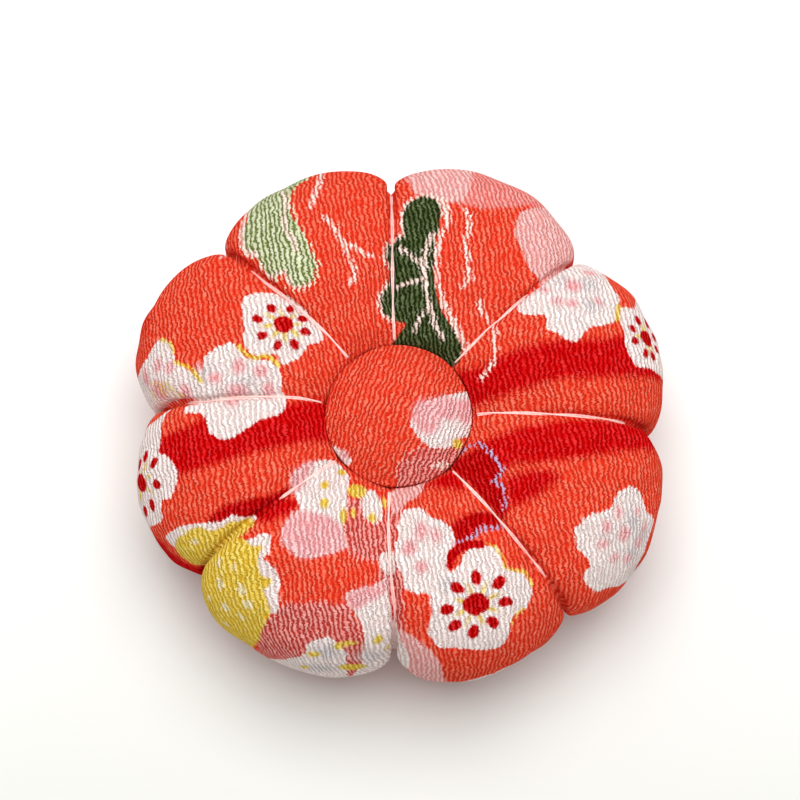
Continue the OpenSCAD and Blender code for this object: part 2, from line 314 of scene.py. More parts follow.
GROUND = (240, 94, 70)
COLOURS = {
    "red": ((213, 25, 27), 0.9, 0.1),
    "maroon": ((197, 20, 22), 0.5, 0.1),
    "rose": ((216, 106, 98), 0.3, 0.1),
    # Painted highlight on the crests of the rose
    "rose_crest_highlight": ((235, 143, 135), 0.3, 1.2),
    "salmon": ((242, 152, 145), 0.5, 0.1),
    "pink": ((244, 186, 182), 0.25, 0.1),
    "sage": ((150, 162, 108), 0.2, 0.1),
    # Painted highlight on the crests of the sage leaf
    "sage_crest_highlight": ((206, 210, 172), 0.3, 1.2),
    "green": ((76, 88, 54), 0.2, 0.1),
    "white": ((252, 236, 232), 0.15, 0.15),
    # Grey: the print's pale shading in white blossoms, and partly painted shade on the lower blossoms
    "grey": ((221, 212, 212), 1.2, 0.1),
    "blush": ((241, 181, 182), 0.55, 0.15),
    "yellow": ((238, 206, 92), 0.25, 0.15),
    "straw": ((247, 233, 192), 0.25, 0.2),
    "cream": ((250, 222, 210), 0.3, 0.45),
    "lilac": ((181, 154, 188), 0.2, 0.6),
    "dots": ((200, 21, 23), 0.15, 0.0),
}
# Colours of painted highlight, on the crests alone
CREST_HIGHLIGHTS = ("rose_crest_highlight", "sage_crest_highlight")

# How the print is laid on the cloth: distances in millimetres where there is no motif and round each one,
# which points face the photograph, from how many pixels off the cloth a motif goes on over its side and how
# much longer it is there, and the steps of a curve between two corners
FAR_MM, PAINT_MARGIN_MM = 5.0, 2.0
FACING_SHARE, OFF_CLOTH_PX, BEYOND = 0.05, 4.0, 2.0
CURVE_STEPS = 4
TINY = 1e-9

# Outlines of motifs, in photograph pixels. A point outside the cushion carries the motif over its side.
OUTLINES = {
    "red": (
        ((458, 374), (480, 366), (517, 348), (558, 340), (600, 338), (660, 336), (690, 345), (690, 386),
         (659, 381), (605, 377), (558, 380), (521, 391), (483, 403), (466, 410)),
        ((478, 448), (487, 440), (502, 433), (525, 426), (554, 422), (583, 420), (612, 422), (641, 428),
         (690, 436), (690, 458), (661, 456), (593, 457), (537, 462), (514, 464), (500, 470)),
        ((150, 446), (162, 438), (194, 424), (206, 418), (250, 412), (285, 404), (326, 404), (332, 443),
         (304, 443), (285, 446), (244, 456), (198, 470), (177, 477), (150, 488)),
        ((504, 480), (520, 473), (545, 470), (558, 476), (549, 487), (531, 500), (511, 506)),
        ((258, 520), (266, 511), (275, 503), (286, 499), (296, 502), (298, 508), (291, 516), (281, 520),
         (268, 525)),
        ((424, 486), (438, 477), (452, 470), (462, 480), (464, 490), (446, 488)),
        ((150, 530), (162, 540), (172, 552), (186, 562), (200, 567), (214, 568), (212, 590), (190, 590),
         (160, 565)),
    ),
    "maroon": (
        ((203, 526), (220, 508), (238, 502), (256, 498), (273, 494), (285, 487), (293, 491), (270, 512),
         (255, 521), (231, 520), (216, 527)),
        ((452, 466), (462, 456), (473, 450), (485, 450), (494, 458), (504, 470), (499, 478), (506, 491),
         (508, 508), (505, 520), (496, 514), (482, 498), (467, 482)),
        ((452, 524), (462, 517), (480, 512), (495, 516), (503, 523), (493, 528), (482, 527), (475, 537),
         (458, 543), (454, 534)),
    ),
    "rose": (
        ((258, 640), (264, 622), (277, 612), (285, 606), (304, 603), (335, 604), (347, 607), (356, 618),
         (361, 634), (362, 660), (330, 690), (270, 668)),
        ((346, 508), (352, 500), (362, 500), (368, 524), (387, 524), (388, 556), (376, 560), (354, 553),
         (346, 540)),
        ((391, 508), (399, 512), (398, 530), (393, 547), (397, 566), (404, 582), (403, 600), (402, 625),
         (397, 640), (391, 640)),
    ),
    "salmon": (
        ((412, 160), (413, 190), (428, 196), (455, 204), (495, 208), (543, 210), (570, 205), (540, 170),
         (470, 140)),
    ),
    "pink": (
        ((411, 160), (413, 190), (428, 196), (448, 202), (470, 190), (460, 150)),
        ((519, 215), (514, 229), (515, 240), (521, 253), (528, 268), (538, 281), (552, 282), (576, 272),
         (592, 250), (575, 218), (543, 208), (525, 210)),
        ((391, 492), (417, 484), (430, 481), (419, 495), (407, 501), (400, 510), (391, 512)),
        ((398, 630), (413, 635), (425, 645), (435, 655), (441, 668), (441, 690), (420, 690), (398, 655)),
        ((222, 236), (230, 238), (233, 256), (224, 262)),
    ),
    "sage": (
        ((318, 160), (302, 180), (291, 194), (288, 202), (289, 210), (293, 219), (305, 239), (310, 250),
         (314, 261), (314, 272), (311, 281), (302, 288), (293, 287), (289, 281), (287, 274), (282, 273),
         (278, 277), (273, 278), (267, 273), (258, 257), (246, 252), (246, 232), (250, 215), (240, 195),
         (280, 160)),
    ),
    "green": (
        ((424, 197), (412, 201), (404, 210), (402, 222), (404, 237), (396, 240), (386, 246), (385, 260),
         (391, 268), (388, 283), (381, 292), (380, 303), (383, 314), (391, 320), (406, 323), (400, 334),
         (397, 350), (440, 366), (456, 364), (462, 350), (459, 339), (451, 324), (442, 309), (437, 294),
         (434, 276), (435, 257), (436, 240), (440, 222), (439, 206), (433, 199)),
    ),
    "white": (
        ((517, 309), (524, 299), (534, 290), (549, 281), (562, 272), (577, 266), (592, 264), (603, 272),
         (611, 289), (617, 296), (619, 308), (618, 320), (605, 324), (592, 326), (584, 332), (577, 340),
         (567, 341), (558, 335), (549, 328), (545, 318), (539, 316), (524, 315)),
        ((575, 531), (580, 522), (589, 515), (603, 511), (611, 508), (615, 500), (620, 492), (630, 487),
         (640, 491), (645, 499), (647, 510), (653, 521), (647, 543), (639, 562), (630, 580), (608, 586),
         (595, 589), (585, 581), (582, 572), (589, 564), (583, 555), (577, 545)),
        ((402, 513), (411, 508), (423, 509), (431, 518), (442, 522), (451, 530), (455, 541), (450, 553),
         (447, 563), (448, 585), (434, 600), (428, 594), (406, 590), (403, 578), (396, 562), (394, 548),
         (399, 535), (398, 523)),
        ((378, 556), (387, 552), (396, 556), (396, 572), (383, 572)),
        ((185, 411), (193, 403), (200, 399), (240, 393), (282, 396), (285, 404), (283, 411), (273, 416),
         (262, 420), (250, 427), (240, 433), (232, 438), (223, 439), (215, 436), (209, 429), (204, 416),
         (190, 415)),
        ((203, 376), (204, 365), (206, 357), (212, 350), (222, 345), (231, 344), (238, 348), (244, 354),
         (249, 358), (267, 360), (274, 365), (280, 369), (282, 378), (281, 388), (282, 399), (240, 400),
         (200, 404), (190, 398)),
        ((160, 340), (166, 340), (172, 345), (174, 356), (176, 363), (184, 366), (193, 372), (203, 383),
         (204, 398), (180, 402), (171, 407), (159, 414), (152, 408), (144, 397), (140, 383), (141, 371),
         (147, 360), (152, 349)),
        ((138, 446), (150, 429), (162, 419), (178, 404), (164, 425), (161, 448), (150, 456)),
        ((315, 462), (333, 462), (343, 468), (350, 478), (347, 491), (347, 508), (343, 516), (345, 531),
         (347, 547), (341, 550), (327, 555), (314, 558), (298, 557), (292, 551), (285, 541), (285, 531),
         (289, 522), (300, 508), (296, 497), (291, 490), (293, 477), (301, 467)),
        ((345, 595), (358, 589), (374, 584), (390, 579), (392, 612), (394, 650), (392, 690), (350, 690),
         (361, 662), (364, 632), (360, 622), (352, 611)),
        ((304, 653), (308, 644), (318, 638), (331, 638), (339, 644), (347, 654), (345, 662), (340, 690),
         (300, 690), (265, 668), (284, 660)),
        ((242, 544), (254, 540), (263, 535), (272, 535), (274, 541), (273, 552), (268, 560), (273, 564),
         (279, 572), (281, 584), (279, 597), (278, 609), (270, 614), (262, 600), (258, 575), (250, 555)),
        ((166, 538), (174, 531), (186, 525), (198, 522), (211, 523), (221, 521), (231, 516), (246, 516),
         (258, 519), (240, 530), (200, 545), (180, 550)),
    ),
    "blush": (
        ((288, 521), (300, 512), (323, 516), (339, 524), (345, 538), (346, 548), (327, 555), (314, 558),
         (298, 557), (285, 541)),
        ((291, 491), (292, 477), (300, 467), (314, 462), (310, 471), (306, 481), (300, 490)),
        ((345, 597), (358, 589), (374, 584), (388, 580), (386, 592), (366, 604), (352, 610)),
    ),
    "yellow": (
        ((248, 541), (233, 537), (219, 551), (205, 567), (202, 598), (210, 618), (222, 636), (240, 652),
         (258, 641), (260, 632), (265, 622), (272, 612), (270, 599), (266, 590), (273, 584), (273, 578),
         (265, 574), (261, 566), (263, 555), (267, 547), (258, 547)),
        ((176, 541), (186, 533), (198, 527), (212, 529), (222, 526), (232, 521), (254, 521), (252, 529),
         (241, 540), (230, 552), (220, 564), (213, 569), (198, 565), (186, 559), (178, 552)),
    ),
}
# The painted crest highlights lie over the sage leaf and the rose.
OUTLINES["sage_crest_highlight"] = OUTLINES["sage"]
OUTLINES["rose_crest_highlight"] = OUTLINES["rose"]

# Strokes in photograph pixels, each with its width in millimetres
STROKES = {
    "red": (
        (0.35, ((154, 421), (147, 433), (141, 446))),
        (0.5, ((140, 386), (146, 400), (152, 408), (159, 415))),
    ),
    "cream": (
        (0.6, ((321, 170), (318, 184), (314, 195), (311, 206))),
        (0.45, ((324, 216), (330, 222), (337, 232), (344, 243), (355, 248), (364, 254), (372, 258))),
        (0.4, ((344, 243), (348, 254), (353, 266), (355, 277), (351, 286))),
        (0.6, ((284, 192), (286, 207), (284, 219), (287, 232), (295, 240), (297, 250))),
        (0.8, ((249, 214), (245, 226), (245, 241), (247, 254), (256, 254))),
        (0.35, ((262, 266), (268, 275), (274, 278), (283, 273), (288, 275), (293, 287), (302, 288),
                (310, 283))),
        (0.8, ((441, 201), (446, 208), (446, 222))),
        (0.5, ((446, 222), (441, 235), (438, 248), (436, 264), (438, 283), (443, 302))),
        (0.65, ((443, 302), (452, 317), (459, 332), (465, 345), (464, 352))),
        (0.35, ((436, 198), (424, 195), (412, 199), (404, 209), (401, 222), (403, 237), (394, 240),
                (385, 246), (384, 260), (390, 268))),
        (0.35, ((388, 283), (381, 292), (379, 303), (382, 314), (390, 321))),
        (0.55, ((433, 235), (427, 248), (424, 261), (424, 280))),
        (0.4, ((424, 280), (427, 294), (430, 309), (434, 324), (443, 339))),
        (0.35, ((401, 250), (412, 255), (420, 264), (424, 272))),
        (0.4, ((396, 289), (410, 283), (424, 279))),
        (0.3, ((429, 305), (420, 318), (414, 330))),
        (0.45, ((465, 209), (470, 220), (469, 233), (465, 237), (467, 250), (470, 261), (468, 272),
                (471, 279), (463, 287))),
        (0.4, ((479, 303), (482, 313))),
        (0.35, ((486, 315), (488, 322))),
        (0.4, ((494, 328), (496, 334), (494, 341), (496, 352), (493, 363), (482, 378))),
    ),
    "yellow": (
        (0.5, ((238, 347), (247, 355), (256, 358), (267, 355), (272, 358), (278, 365))),
        (0.4, ((162, 340), (170, 343), (174, 352))),
        (0.4, ((176, 363), (189, 367), (202, 382))),
        (0.3, ((154, 382), (160, 388), (166, 396))),
        (0.3, ((160, 382), (169, 389), (176, 397))),
        (0.3, ((166, 382), (174, 389), (181, 396))),
        (0.3, ((152, 390), (158, 397))),
        (0.6, ((618, 307), (617, 320))),
        (0.28, ((487, 544), (494, 547), (502, 558), (504, 568), (514, 570), (525, 573), (531, 585))),
        (0.2, ((511, 622), (515, 613), (522, 608))),
    ),
    "dots": ((1.1, ((450, 564), (452, 555), (460, 547), (470, 545), (480, 544))),),
    "lilac": (
        (0.27, ((461, 453), (469, 446), (479, 443), (485, 447), (492, 454), (498, 462), (504, 468),
                (500, 477), (494, 481), (504, 487), (506, 497), (505, 508))),
        (0.3, ((457, 543), (475, 538), (481, 528), (492, 529), (500, 526))),
    ),
}

# Ovals in photograph pixels, with their half axes in millimetres: to the right, and up
OVALS = {
    "white": (((372, 507), (1.4, 2.3)),),
    "blush": (
        ((573, 288), (1.1, 0.9)), ((557, 303), (0.9, 0.6)), ((573, 304), (0.8, 0.6)),
        ((598, 301), (0.6, 0.5)), ((588, 276), (0.9, 0.5)), ((545, 292), (0.8, 0.5)),
        ((240, 367), (0.8, 1.0)), ((260, 371), (0.9, 0.9)), ((217, 378), (0.9, 0.7)),
        ((238, 390), (1.4, 0.8)), ((268, 390), (0.8, 1.0)), ((232, 402), (1.0, 0.8)),
        ((158, 365), (0.8, 1.0)), ((147, 376), (0.9, 1.1)), ((170, 368), (0.8, 0.8)),
        ((605, 527), (0.7, 0.8)), ((619, 512), (0.6, 0.8)), ((625, 534), (0.9, 1.0)),
        ((604, 544), (0.8, 0.6)), ((614, 558), (0.7, 0.6)), ((637, 512), (0.4, 0.5)),
        ((644, 528), (0.5, 0.7)), ((628, 558), (0.6, 0.6)), ((410, 548), (1.0, 1.0)),
        ((421, 531), (0.8, 1.2)), ((436, 536), (0.7, 1.0)), ((421, 568), (0.7, 0.8)),
        ((160, 390), (1.6, 1.4)), ((186, 392), (0.9, 1.2)), ((639, 542), (0.6, 0.7)),
    ),
    # Grey ovals: the print's pale shading in the white blossoms; on the lower blossoms they are partly
    # painted shade.
    "grey": (
        ((562, 284), (0.9, 0.7)), ((587, 287), (1.2, 1.0)), ((590, 306), (1.0, 0.8)),
        ((246, 382), (1.2, 0.7)), ((204, 374), (1.0, 0.9)), ((633, 522), (1.1, 1.5)),
        ((640, 538), (1.2, 1.4)), ((632, 554), (1.0, 1.0)), ((370, 656), (1.6, 1.0)),
        ((326, 652), (1.6, 1.2)), ((320, 668), (2.4, 1.0)), ((447, 586), (0.9, 0.8)),
    ),
    "yellow": (
        ((325, 485), (0.55, 0.6)), ((325, 504), (0.55, 0.65)), ((342, 472), (0.5, 0.5)),
        ((357, 491), (1.2, 1.0)), ((344, 516), (0.4, 1.0)), ((353, 514), (0.35, 0.5)),
        ((373, 517), (0.55, 0.6)), ((385, 504), (0.35, 0.7)), ((377, 638), (0.55, 0.7)),
        ((387, 645), (0.35, 0.7)), ((352, 667), (1.9, 1.0)), ((314, 654), (0.9, 0.5)),
        ((306, 667), (0.7, 0.5)), ((350, 643), (0.9, 0.4)), ((340, 646), (0.5, 0.7)),
    ),
    "straw": (
        ((226, 581), (0.55, 0.75)), ((245, 588), (0.65, 0.75)), ((231, 603), (0.6, 0.6)),
        ((252, 602), (0.65, 0.65)), ((226, 562), (0.45, 0.6)), ((219, 594), (0.4, 0.45)),
        ((232, 620), (0.6, 0.5)), ((223, 611), (0.4, 0.4)), ((244, 615), (0.4, 0.45)),
        ((240, 566), (0.35, 0.45)), ((195, 540), (0.5, 0.4)), ((184, 531), (0.4, 0.35)),
    ),
}

# Blossoms with a red eye, in photograph pixels: their outline, the eye with its half axes in millimetres,
# and the dots round it with theirs
PLUM_BLOSSOMS = (
    (((450, 574), (460, 564), (467, 553), (477, 547), (490, 547), (500, 553), (502, 564), (510, 570),
      (521, 572), (528, 581), (531, 593), (525, 605), (515, 613), (510, 622), (509, 634), (500, 646),
      (483, 651), (463, 648), (438, 646), (430, 635), (428, 626), (432, 614), (431, 600), (440, 592)),
     (476, 605),
     (1.75, 1.45),
     ((477, 577), (498, 582), (505, 601), (494, 622), (473, 633), (454, 626), (447, 609), (456, 587)),
     (0.95, 0.7)),
    (((241, 304), (246, 298), (256, 296), (280, 296), (290, 298), (298, 304), (310, 318), (321, 331),
      (323, 340), (310, 345), (305, 351), (300, 358), (292, 362), (283, 364), (279, 361), (274, 354),
      (265, 356), (252, 354), (245, 347), (244, 336), (246, 328), (241, 316)),
     (284, 325),
     (1.3, 1.15),
     ((271, 309), (289, 309), (303, 319), (305, 332), (295, 344), (278, 345), (263, 336), (259, 320)),
     (0.72, 0.55)),
    (((619, 313), (622, 309), (634, 309), (642, 300), (680, 330), (680, 355), (664, 380), (655, 371),
      (649, 368), (638, 367), (631, 358), (627, 350), (626, 341), (623, 328)),
     (647, 339),
     (1.3, 1.15),
     ((638, 320), (647, 324), (634, 328), (635, 341), (654, 337), (645, 354), (653, 357), (657, 350)),
     (0.75, 0.58)),
    (((150, 444), (159, 452), (166, 455), (173, 462), (177, 471), (176, 481), (173, 491), (168, 498),
      (161, 501), (160, 509), (161, 522), (140, 526), (120, 500), (118, 462), (134, 440)),
     (142, 482),
     (1.3, 1.3),
     ((146, 456), (154, 463), (157, 485), (151, 504), (136, 498), (140, 464), (145, 510)),
     (0.8, 0.65)),
)

# Stamens between the dots: how far out, as a share, and their half axes in millimetres
STAMEN_OUT, STAMEN_RADII = 0.62, (0.7, 0.22)

# Blossoms and leaves made by rule, for the sides: shares of their size, and counts
LOBES, LOBE_OUT, LOBE_SIZE, LOBE_HEART = 5, 0.60, 0.42, 0.62
EYE_SHARE, DOT_SHARE, DOT_COUNT, DOT_OUT = 0.22, (0.12, 0.10), 8, 0.55
HEART_SHARE, STAMEN_COUNT, STAMEN_SHARE = 0.3, 7, 0.24
LEAF_WIDTH, LEAF_EDGE_MM = 0.42, 0.35

# Motifs on the sides and the back, which the photograph doesn't show: the angle in degrees, the height and
# the sizes in millimetres, and for a leaf the angle of its length. The sides are about SIDE_R from the axis.
SIDE_R = 36.0
SIDE_PLUMS = ((20, 12, 6.0), (118, 11, 6.4), (205, 9, 5.4), (292, 10, 5.8))
SIDE_BLOSSOMS = {
    "white": ((99, 9, 4.4), (190, 14, 4.2), (312, 8, 3.8), (150, 6, 3.8), (245, 9, 4.2)),
    "pink": ((72, 12, 4.8), (166, 9, 4.2), (232, 6, 4.0), (345, 12, 4.4)),
    "rose": ((47, 8, 4.4), (222, 13, 3.8)),
}
SIDE_LEAVES = {
    "yellow": ((84, 8, 4.0, 30), (180, 7, 3.6, -25), (262, 8, 3.8, 40), (2, 8, 3.6, -40)),
    "sage": ((136, 13, 5.0, 70), (330, 14, 4.2, 110)),
}
SIDE_MISTS = ((66, 10, 8.0, 2.2), (150, 12, 10.0, 2.4), (250, 7, 9.0, 1.8), (330, 9, 8.0, 2.0))

# Motifs of the button, in the same terms
BUTTON_OUTLINES = {
    "rose": (
        ((398, 484), (400, 470), (404, 461), (411, 456), (425, 448), (450, 447), (464, 450), (460, 478),
         (430, 500), (402, 500)),
    ),
    "white": (
        ((411, 425), (413, 417), (419, 409), (429, 402), (443, 396), (456, 394), (482, 394), (486, 430),
         (464, 438), (452, 447), (438, 449), (427, 446), (417, 435)),
        ((332, 446), (341, 450), (348, 456), (352, 461), (350, 464), (343, 464), (334, 458)),
    ),
}
# Painted highlight on the crests of the button's rose.
BUTTON_OUTLINES["rose_crest_highlight"] = BUTTON_OUTLINES["rose"]
BUTTON_OVALS = {
    "blush": (
        ((427, 417), (1.9, 2.4)), ((446, 408), (2.6, 1.6)), ((466, 411), (1.7, 1.7)),
        ((344, 456), (0.8, 0.6)),
    ),
    "cream": (((442, 466), (0.9, 0.5)),),
    "yellow": (((457, 443), (0.7, 0.7)),),
}


def photo_pixels(points):
    """Where points in millimetres fall in the photograph."""
    rel = points - CAMERA_AIM
    scale = PX_PER_MM * CAMERA_DISTANCE / (CAMERA_DISTANCE - rel @ TO_CAMERA)
    return np.stack([PHOTO_PX / 2 + scale * rel[:, 0], PHOTO_PX / 2 - scale * (rel @ CAMERA_UP)], 1)


def rounded(corners):
    """Smooth closed curve through the corners of an outline."""
    before, after, later = np.roll(corners, 1, 0), np.roll(corners, -1, 0), np.roll(corners, -2, 0)
    curve = []
    for t in np.arange(CURVE_STEPS) / CURVE_STEPS:
        curve.append(0.5 * (2 * corners + (after - before) * t
                            + (2 * before - 5 * corners + 4 * after - later) * t ** 2
                            + (3 * corners - before - 3 * after + later) * t ** 3))
    return np.stack(curve, 1).reshape(-1, 2)


def edge_distance(p, a, b):
    edge = b - a
    t = np.clip((p - a) @ edge / max(edge @ edge, TINY), 0, 1)
    return np.hypot(*(p - a - t[:, None] * edge).T)


def outline_distance(p, corners):
    """Signed distance from points to a closed outline, below zero inside."""
    nearest = np.full(len(p), np.inf)
    inside = np.zeros(len(p), bool)
    for a, b in zip(corners, np.roll(corners, -1, 0)):
        nearest = np.minimum(nearest, edge_distance(p, a, b))
        rise = b[1] - a[1]
        if rise:
            crosses = (a[1] > p[:, 1]) != (b[1] > p[:, 1])
            inside ^= crosses & (p[:, 0] < a[0] + (p[:, 1] - a[1]) * (b[0] - a[0]) / rise)
    return np.where(inside, -nearest, nearest)


def line_distance(p, line):
    """Distance from points to an open line through a few places."""
    return np.min([edge_distance(p, a, b) for a, b in zip(line, line[1:])], 0)


def oval_distance(p, centre, radii, turn=0.0):
    """Nearly the signed distance from points to an oval."""
    c, s = math.cos(turn), math.sin(turn)
    q = (p - centre) @ np.array([[c, -s], [s, c]])
    return (np.hypot(q[:, 0] / radii[0], q[:, 1] / radii[1]) - 1) * min(radii)


def leaf_distance(p, half_length, turn):
    """Signed distance from points to a pointed leaf, whose two edges are arcs."""
    half_width = LEAF_WIDTH * half_length
    arc = (half_length ** 2 + half_width ** 2) / (2 * half_width)
    side = (arc - half_width) * np.array([-math.sin(turn), math.cos(turn)])
    return np.maximum(np.hypot(*(p - side).T), np.hypot(*(p + side).T)) - arc


def ring_places(count, out, turn_deg):
    return polar(out, np.radians(turn_deg) + round_angles(count))


def lobed_distance(p, radius, turn_deg):
    """Signed distance from points to a flower shape with even lobes round a heart."""
    lobes = ring_places(LOBES, LOBE_OUT * radius, turn_deg)
    rounds = [np.hypot(*(p - place).T) - LOBE_SIZE * radius for place in lobes]
    return np.min(rounds + [np.hypot(*p.T) - LOBE_HEART * radius], 0)


class Print:
    """Distances in millimetres from the motifs of each colour, at the points of a cloth."""

    def __init__(self, points, normals):
        self.points, self.normals = points, normals
        self.fields = {name: np.full(len(points), FAR_MM) for name in COLOURS}
        self.facing = np.nonzero(normals @ TO_CAMERA > FACING_SHARE)[0]
        self.pixels = photo_pixels(points[self.facing])

    def at(self, pixel):
        """The point that the photograph shows nearest to a pixel, and how far off it is in pixels."""
        off = np.asarray(pixel) - self.pixels
        i = np.argmin((off ** 2).sum(1))
        return self.facing[i], off[i]

    def on_side(self, angle, height):
        """The point nearest to a direction, in degrees, and a height on the cushion's side."""
        place = upright(SIDE_R, math.radians(angle), height)
        return np.argmin(((self.points - place) ** 2).sum(1))

    def flat(self, centre, points):
        """Flat coordinates round a point of the cloth, to the photograph's right and up, at true distance."""
        normal = self.normals[centre]
        up = unit(CAMERA_UP - normal * (CAMERA_UP @ normal))
        right = np.cross(up, normal)
        rel = points - self.points[centre]
        q = np.stack([rel @ right, rel @ up], 1)
        return q * (np.linalg.norm(rel, axis=1) / np.maximum(np.hypot(*q.T), TINY))[:, None]

    def traced(self, centre, pixels):
        """Flat coordinates of photograph pixels; those off the cloth go on over its side."""
        places = []
        for pixel in pixels:
            i, off = self.at(pixel)
            past = off if np.hypot(*off) > OFF_CLOTH_PX else np.zeros(2)
            places.append(self.flat(centre, self.points[[i]])[0] + BEYOND * past * (1, -1) / PX_PER_MM)
        return np.array(places)

    def paint(self, colour, centre, reach, distance):
        """Adds a motif given by a function of flat coordinates."""
        away = ((self.points - self.points[centre]) ** 2).sum(1)
        near = np.nonzero(away < (reach + PAINT_MARGIN_MM) ** 2)[0]
        field = self.fields[colour]
        field[near] = np.minimum(field[near], distance(self.flat(centre, self.points[near])))

    def outline(self, colour, pixels):
        centre, _ = self.at(np.mean(pixels, 0))
        curve = rounded(self.traced(centre, pixels))
        self.paint(colour, centre, np.hypot(*curve.T).max(), lambda q: outline_distance(q, curve))

    def stroke(self, colour, width, pixels):
        centre, _ = self.at(np.mean(pixels, 0))
        line = self.traced(centre, pixels)
        reach = np.hypot(*line.T).max() + width
        self.paint(colour, centre, reach, lambda q: line_distance(q, line) - width / 2)

    def oval(self, colour, centre, radii):
        self.paint(colour, centre, max(radii), lambda q: oval_distance(q, (0, 0), radii))

    def ring(self, colour, centre, places, radii):
        """Ovals round a point, pointing away from it."""
        turns = np.arctan2(places[:, 1], places[:, 0])
        self.paint(colour, centre, np.hypot(*places.T).max() + max(radii), lambda q: np.min(
            [oval_distance(q, place, radii, turn) for place, turn in zip(places, turns)], 0))

    def dots(self, centre, places, radii):
        """Red ovals round an eye, pointing away from it, with yellow stamens between."""
        self.ring("dots", centre, places, radii)
        self.ring("yellow", centre, STAMEN_OUT * (places + np.roll(places, 1, 0)) / 2, STAMEN_RADII)

    def plum(self, pixels, eye_pixel, eye_radii, dot_pixels, dot_radii):
        """White blossom with a red eye, a ring of red dots and yellow stamens, traced from the photograph."""
        self.outline("white", pixels)
        centre, _ = self.at(eye_pixel)
        self.oval("dots", centre, eye_radii)
        self.dots(centre, self.traced(centre, dot_pixels), dot_radii)

    def lobed(self, colour, centre, radius, turn_deg):
        self.paint(colour, centre, radius, lambda q: lobed_distance(q, radius, turn_deg))

    def made_plum(self, centre, radius, turn_deg):
        """A blossom with a red eye and even lobes."""
        self.lobed("white", centre, radius, turn_deg)
        self.oval("dots", centre, (EYE_SHARE * radius, EYE_SHARE * radius))
        self.dots(centre, ring_places(DOT_COUNT, DOT_OUT * radius, turn_deg), np.array(DOT_SHARE) * radius)

    def made_blossom(self, colour, centre, radius, turn_deg):
        """A blossom with a blushing heart and a ring of yellow stamens."""
        self.lobed(colour, centre, radius, turn_deg)
        self.oval("blush", centre, (HEART_SHARE * radius, HEART_SHARE * radius))
        self.ring("yellow", centre, ring_places(STAMEN_COUNT, STAMEN_SHARE * radius, turn_deg), STAMEN_RADII)

    def made_leaf(self, colour, centre, half_length, turn_deg):
        """A pointed leaf with a pale edge."""
        turn = math.radians(turn_deg)
        for ink, size in (("white", half_length + LEAF_EDGE_MM), (colour, half_length)):
            self.paint(ink, centre, size, lambda q: leaf_distance(q, size, turn))

    def keep(self, obj):
        """Puts the fields that hold a motif on the mesh, and gives their names."""
        used = [name for name, field in self.fields.items() if field.min() < FAR_MM]
        for name in used:
            add_field(obj, name, self.fields[name])
        return used


def each_shape(table):
    """Every colour of a table with each of its shapes."""
    return [(colour, shape) for colour, shapes in table.items() for shape in shapes]


def print_outlines(cloth, outlines, ovals):
    for colour, pixels in each_shape(outlines):
        cloth.outline(colour, pixels)
    for colour, (pixel, radii) in each_shape(ovals):
        cloth.oval(colour, cloth.at(pixel)[0], radii)


def print_cushion(cloth):
    print_outlines(cloth, OUTLINES, OVALS)
    for colour, (width, pixels) in each_shape(STROKES):
        cloth.stroke(colour, width, pixels)
    for blossom in PLUM_BLOSSOMS:
        cloth.plum(*blossom)
    for angle, height, radius in SIDE_PLUMS:
        cloth.made_plum(cloth.on_side(angle, height), radius, angle)
    for colour, (angle, height, radius) in each_shape(SIDE_BLOSSOMS):
        cloth.made_blossom(colour, cloth.on_side(angle, height), radius, angle)
    for colour, (angle, height, half_length, turn_deg) in each_shape(SIDE_LEAVES):
        cloth.made_leaf(colour, cloth.on_side(angle, height), half_length, turn_deg)
    for angle, height, *radii in SIDE_MISTS:
        cloth.oval("red", cloth.on_side(angle, height), radii)


# Materials

CUSHION_RIDGE_MM, BUTTON_RIDGE_MM = 0.72, 0.65
CUSHION_LEAN, BUTTON_LEAN = math.radians(-9), math.radians(17)

# How the ridges of the crepe wander: by how much, and over what length across and along them
WANDER_MM, WANDER_SIZE_MM = 1.0, (4.5, 3.0)
CRINKLE_MM, CRINKLE_SIZE_MM = 0.6, (1.5, 1.0)
FRET_MM, FRET_SIZE_MM = 0.55, (0.5, 0.3)

# Their height: broad crests, which swell and shrink along each ridge, and the grain of the yarn
BROADNESS = 0.6
RIDGE_STRIDE, SWELL_PER_MM, SWELLS = 5.3, 0.9, (0.35, 1.45)
GRAIN_SIZE_MM, GRAIN_HEIGHT, RIDGE_BUMP_MM = (0.3, 0.13), 0.7, 0.22

# The dye at the edges of motifs and where the painted crest highlights stop, then the painted shade and
# highlight of the ridges: colours deeper and darker in the valleys, lighter on the crests and uneven with the
# grain, and painted shade deeper still in the valleys where the colour is pale
JAG_MM, JAG_PER_MM, FRAY_MM = 0.45, 0.7, 0.3
CREST_HIGHLIGHT_EDGE = -0.1
VALLEY_GAMMA, CREST_GAMMA = 1.65, 0.78
VALLEY_SHADE, CREST_SHADE, GRAIN_SHADE = 0.9, 1.1, 0.36
PALE_FROM, PALE_FULL, PALE_VALLEY = 0.5, 0.8, 0.14

# Other materials
FLECK_SPREAD = (-0.6, 1.6)
CORD_LOW, YARN_SIZE_MM, YARN_UNEVEN, ELASTIC_BUMP_MM = 0.3, (0.5, 0.2), 0.5, 0.12
STREAK_LESS, STREAK_MORE, STREAK_BUMP_MM = 0.1, 0.15, 0.01
MATT_GRAIN_MM, MATT_BUMP_MM = 0.4, 0.03


def linear(rgb):
    """Linear colour, with alpha, from one in 8-bit sRGB."""
    c = np.asarray(rgb) / 255
    return (*np.where(c <= 0.04045, c / 12.92, ((c + 0.055) / 1.055) ** 2.4), 1)


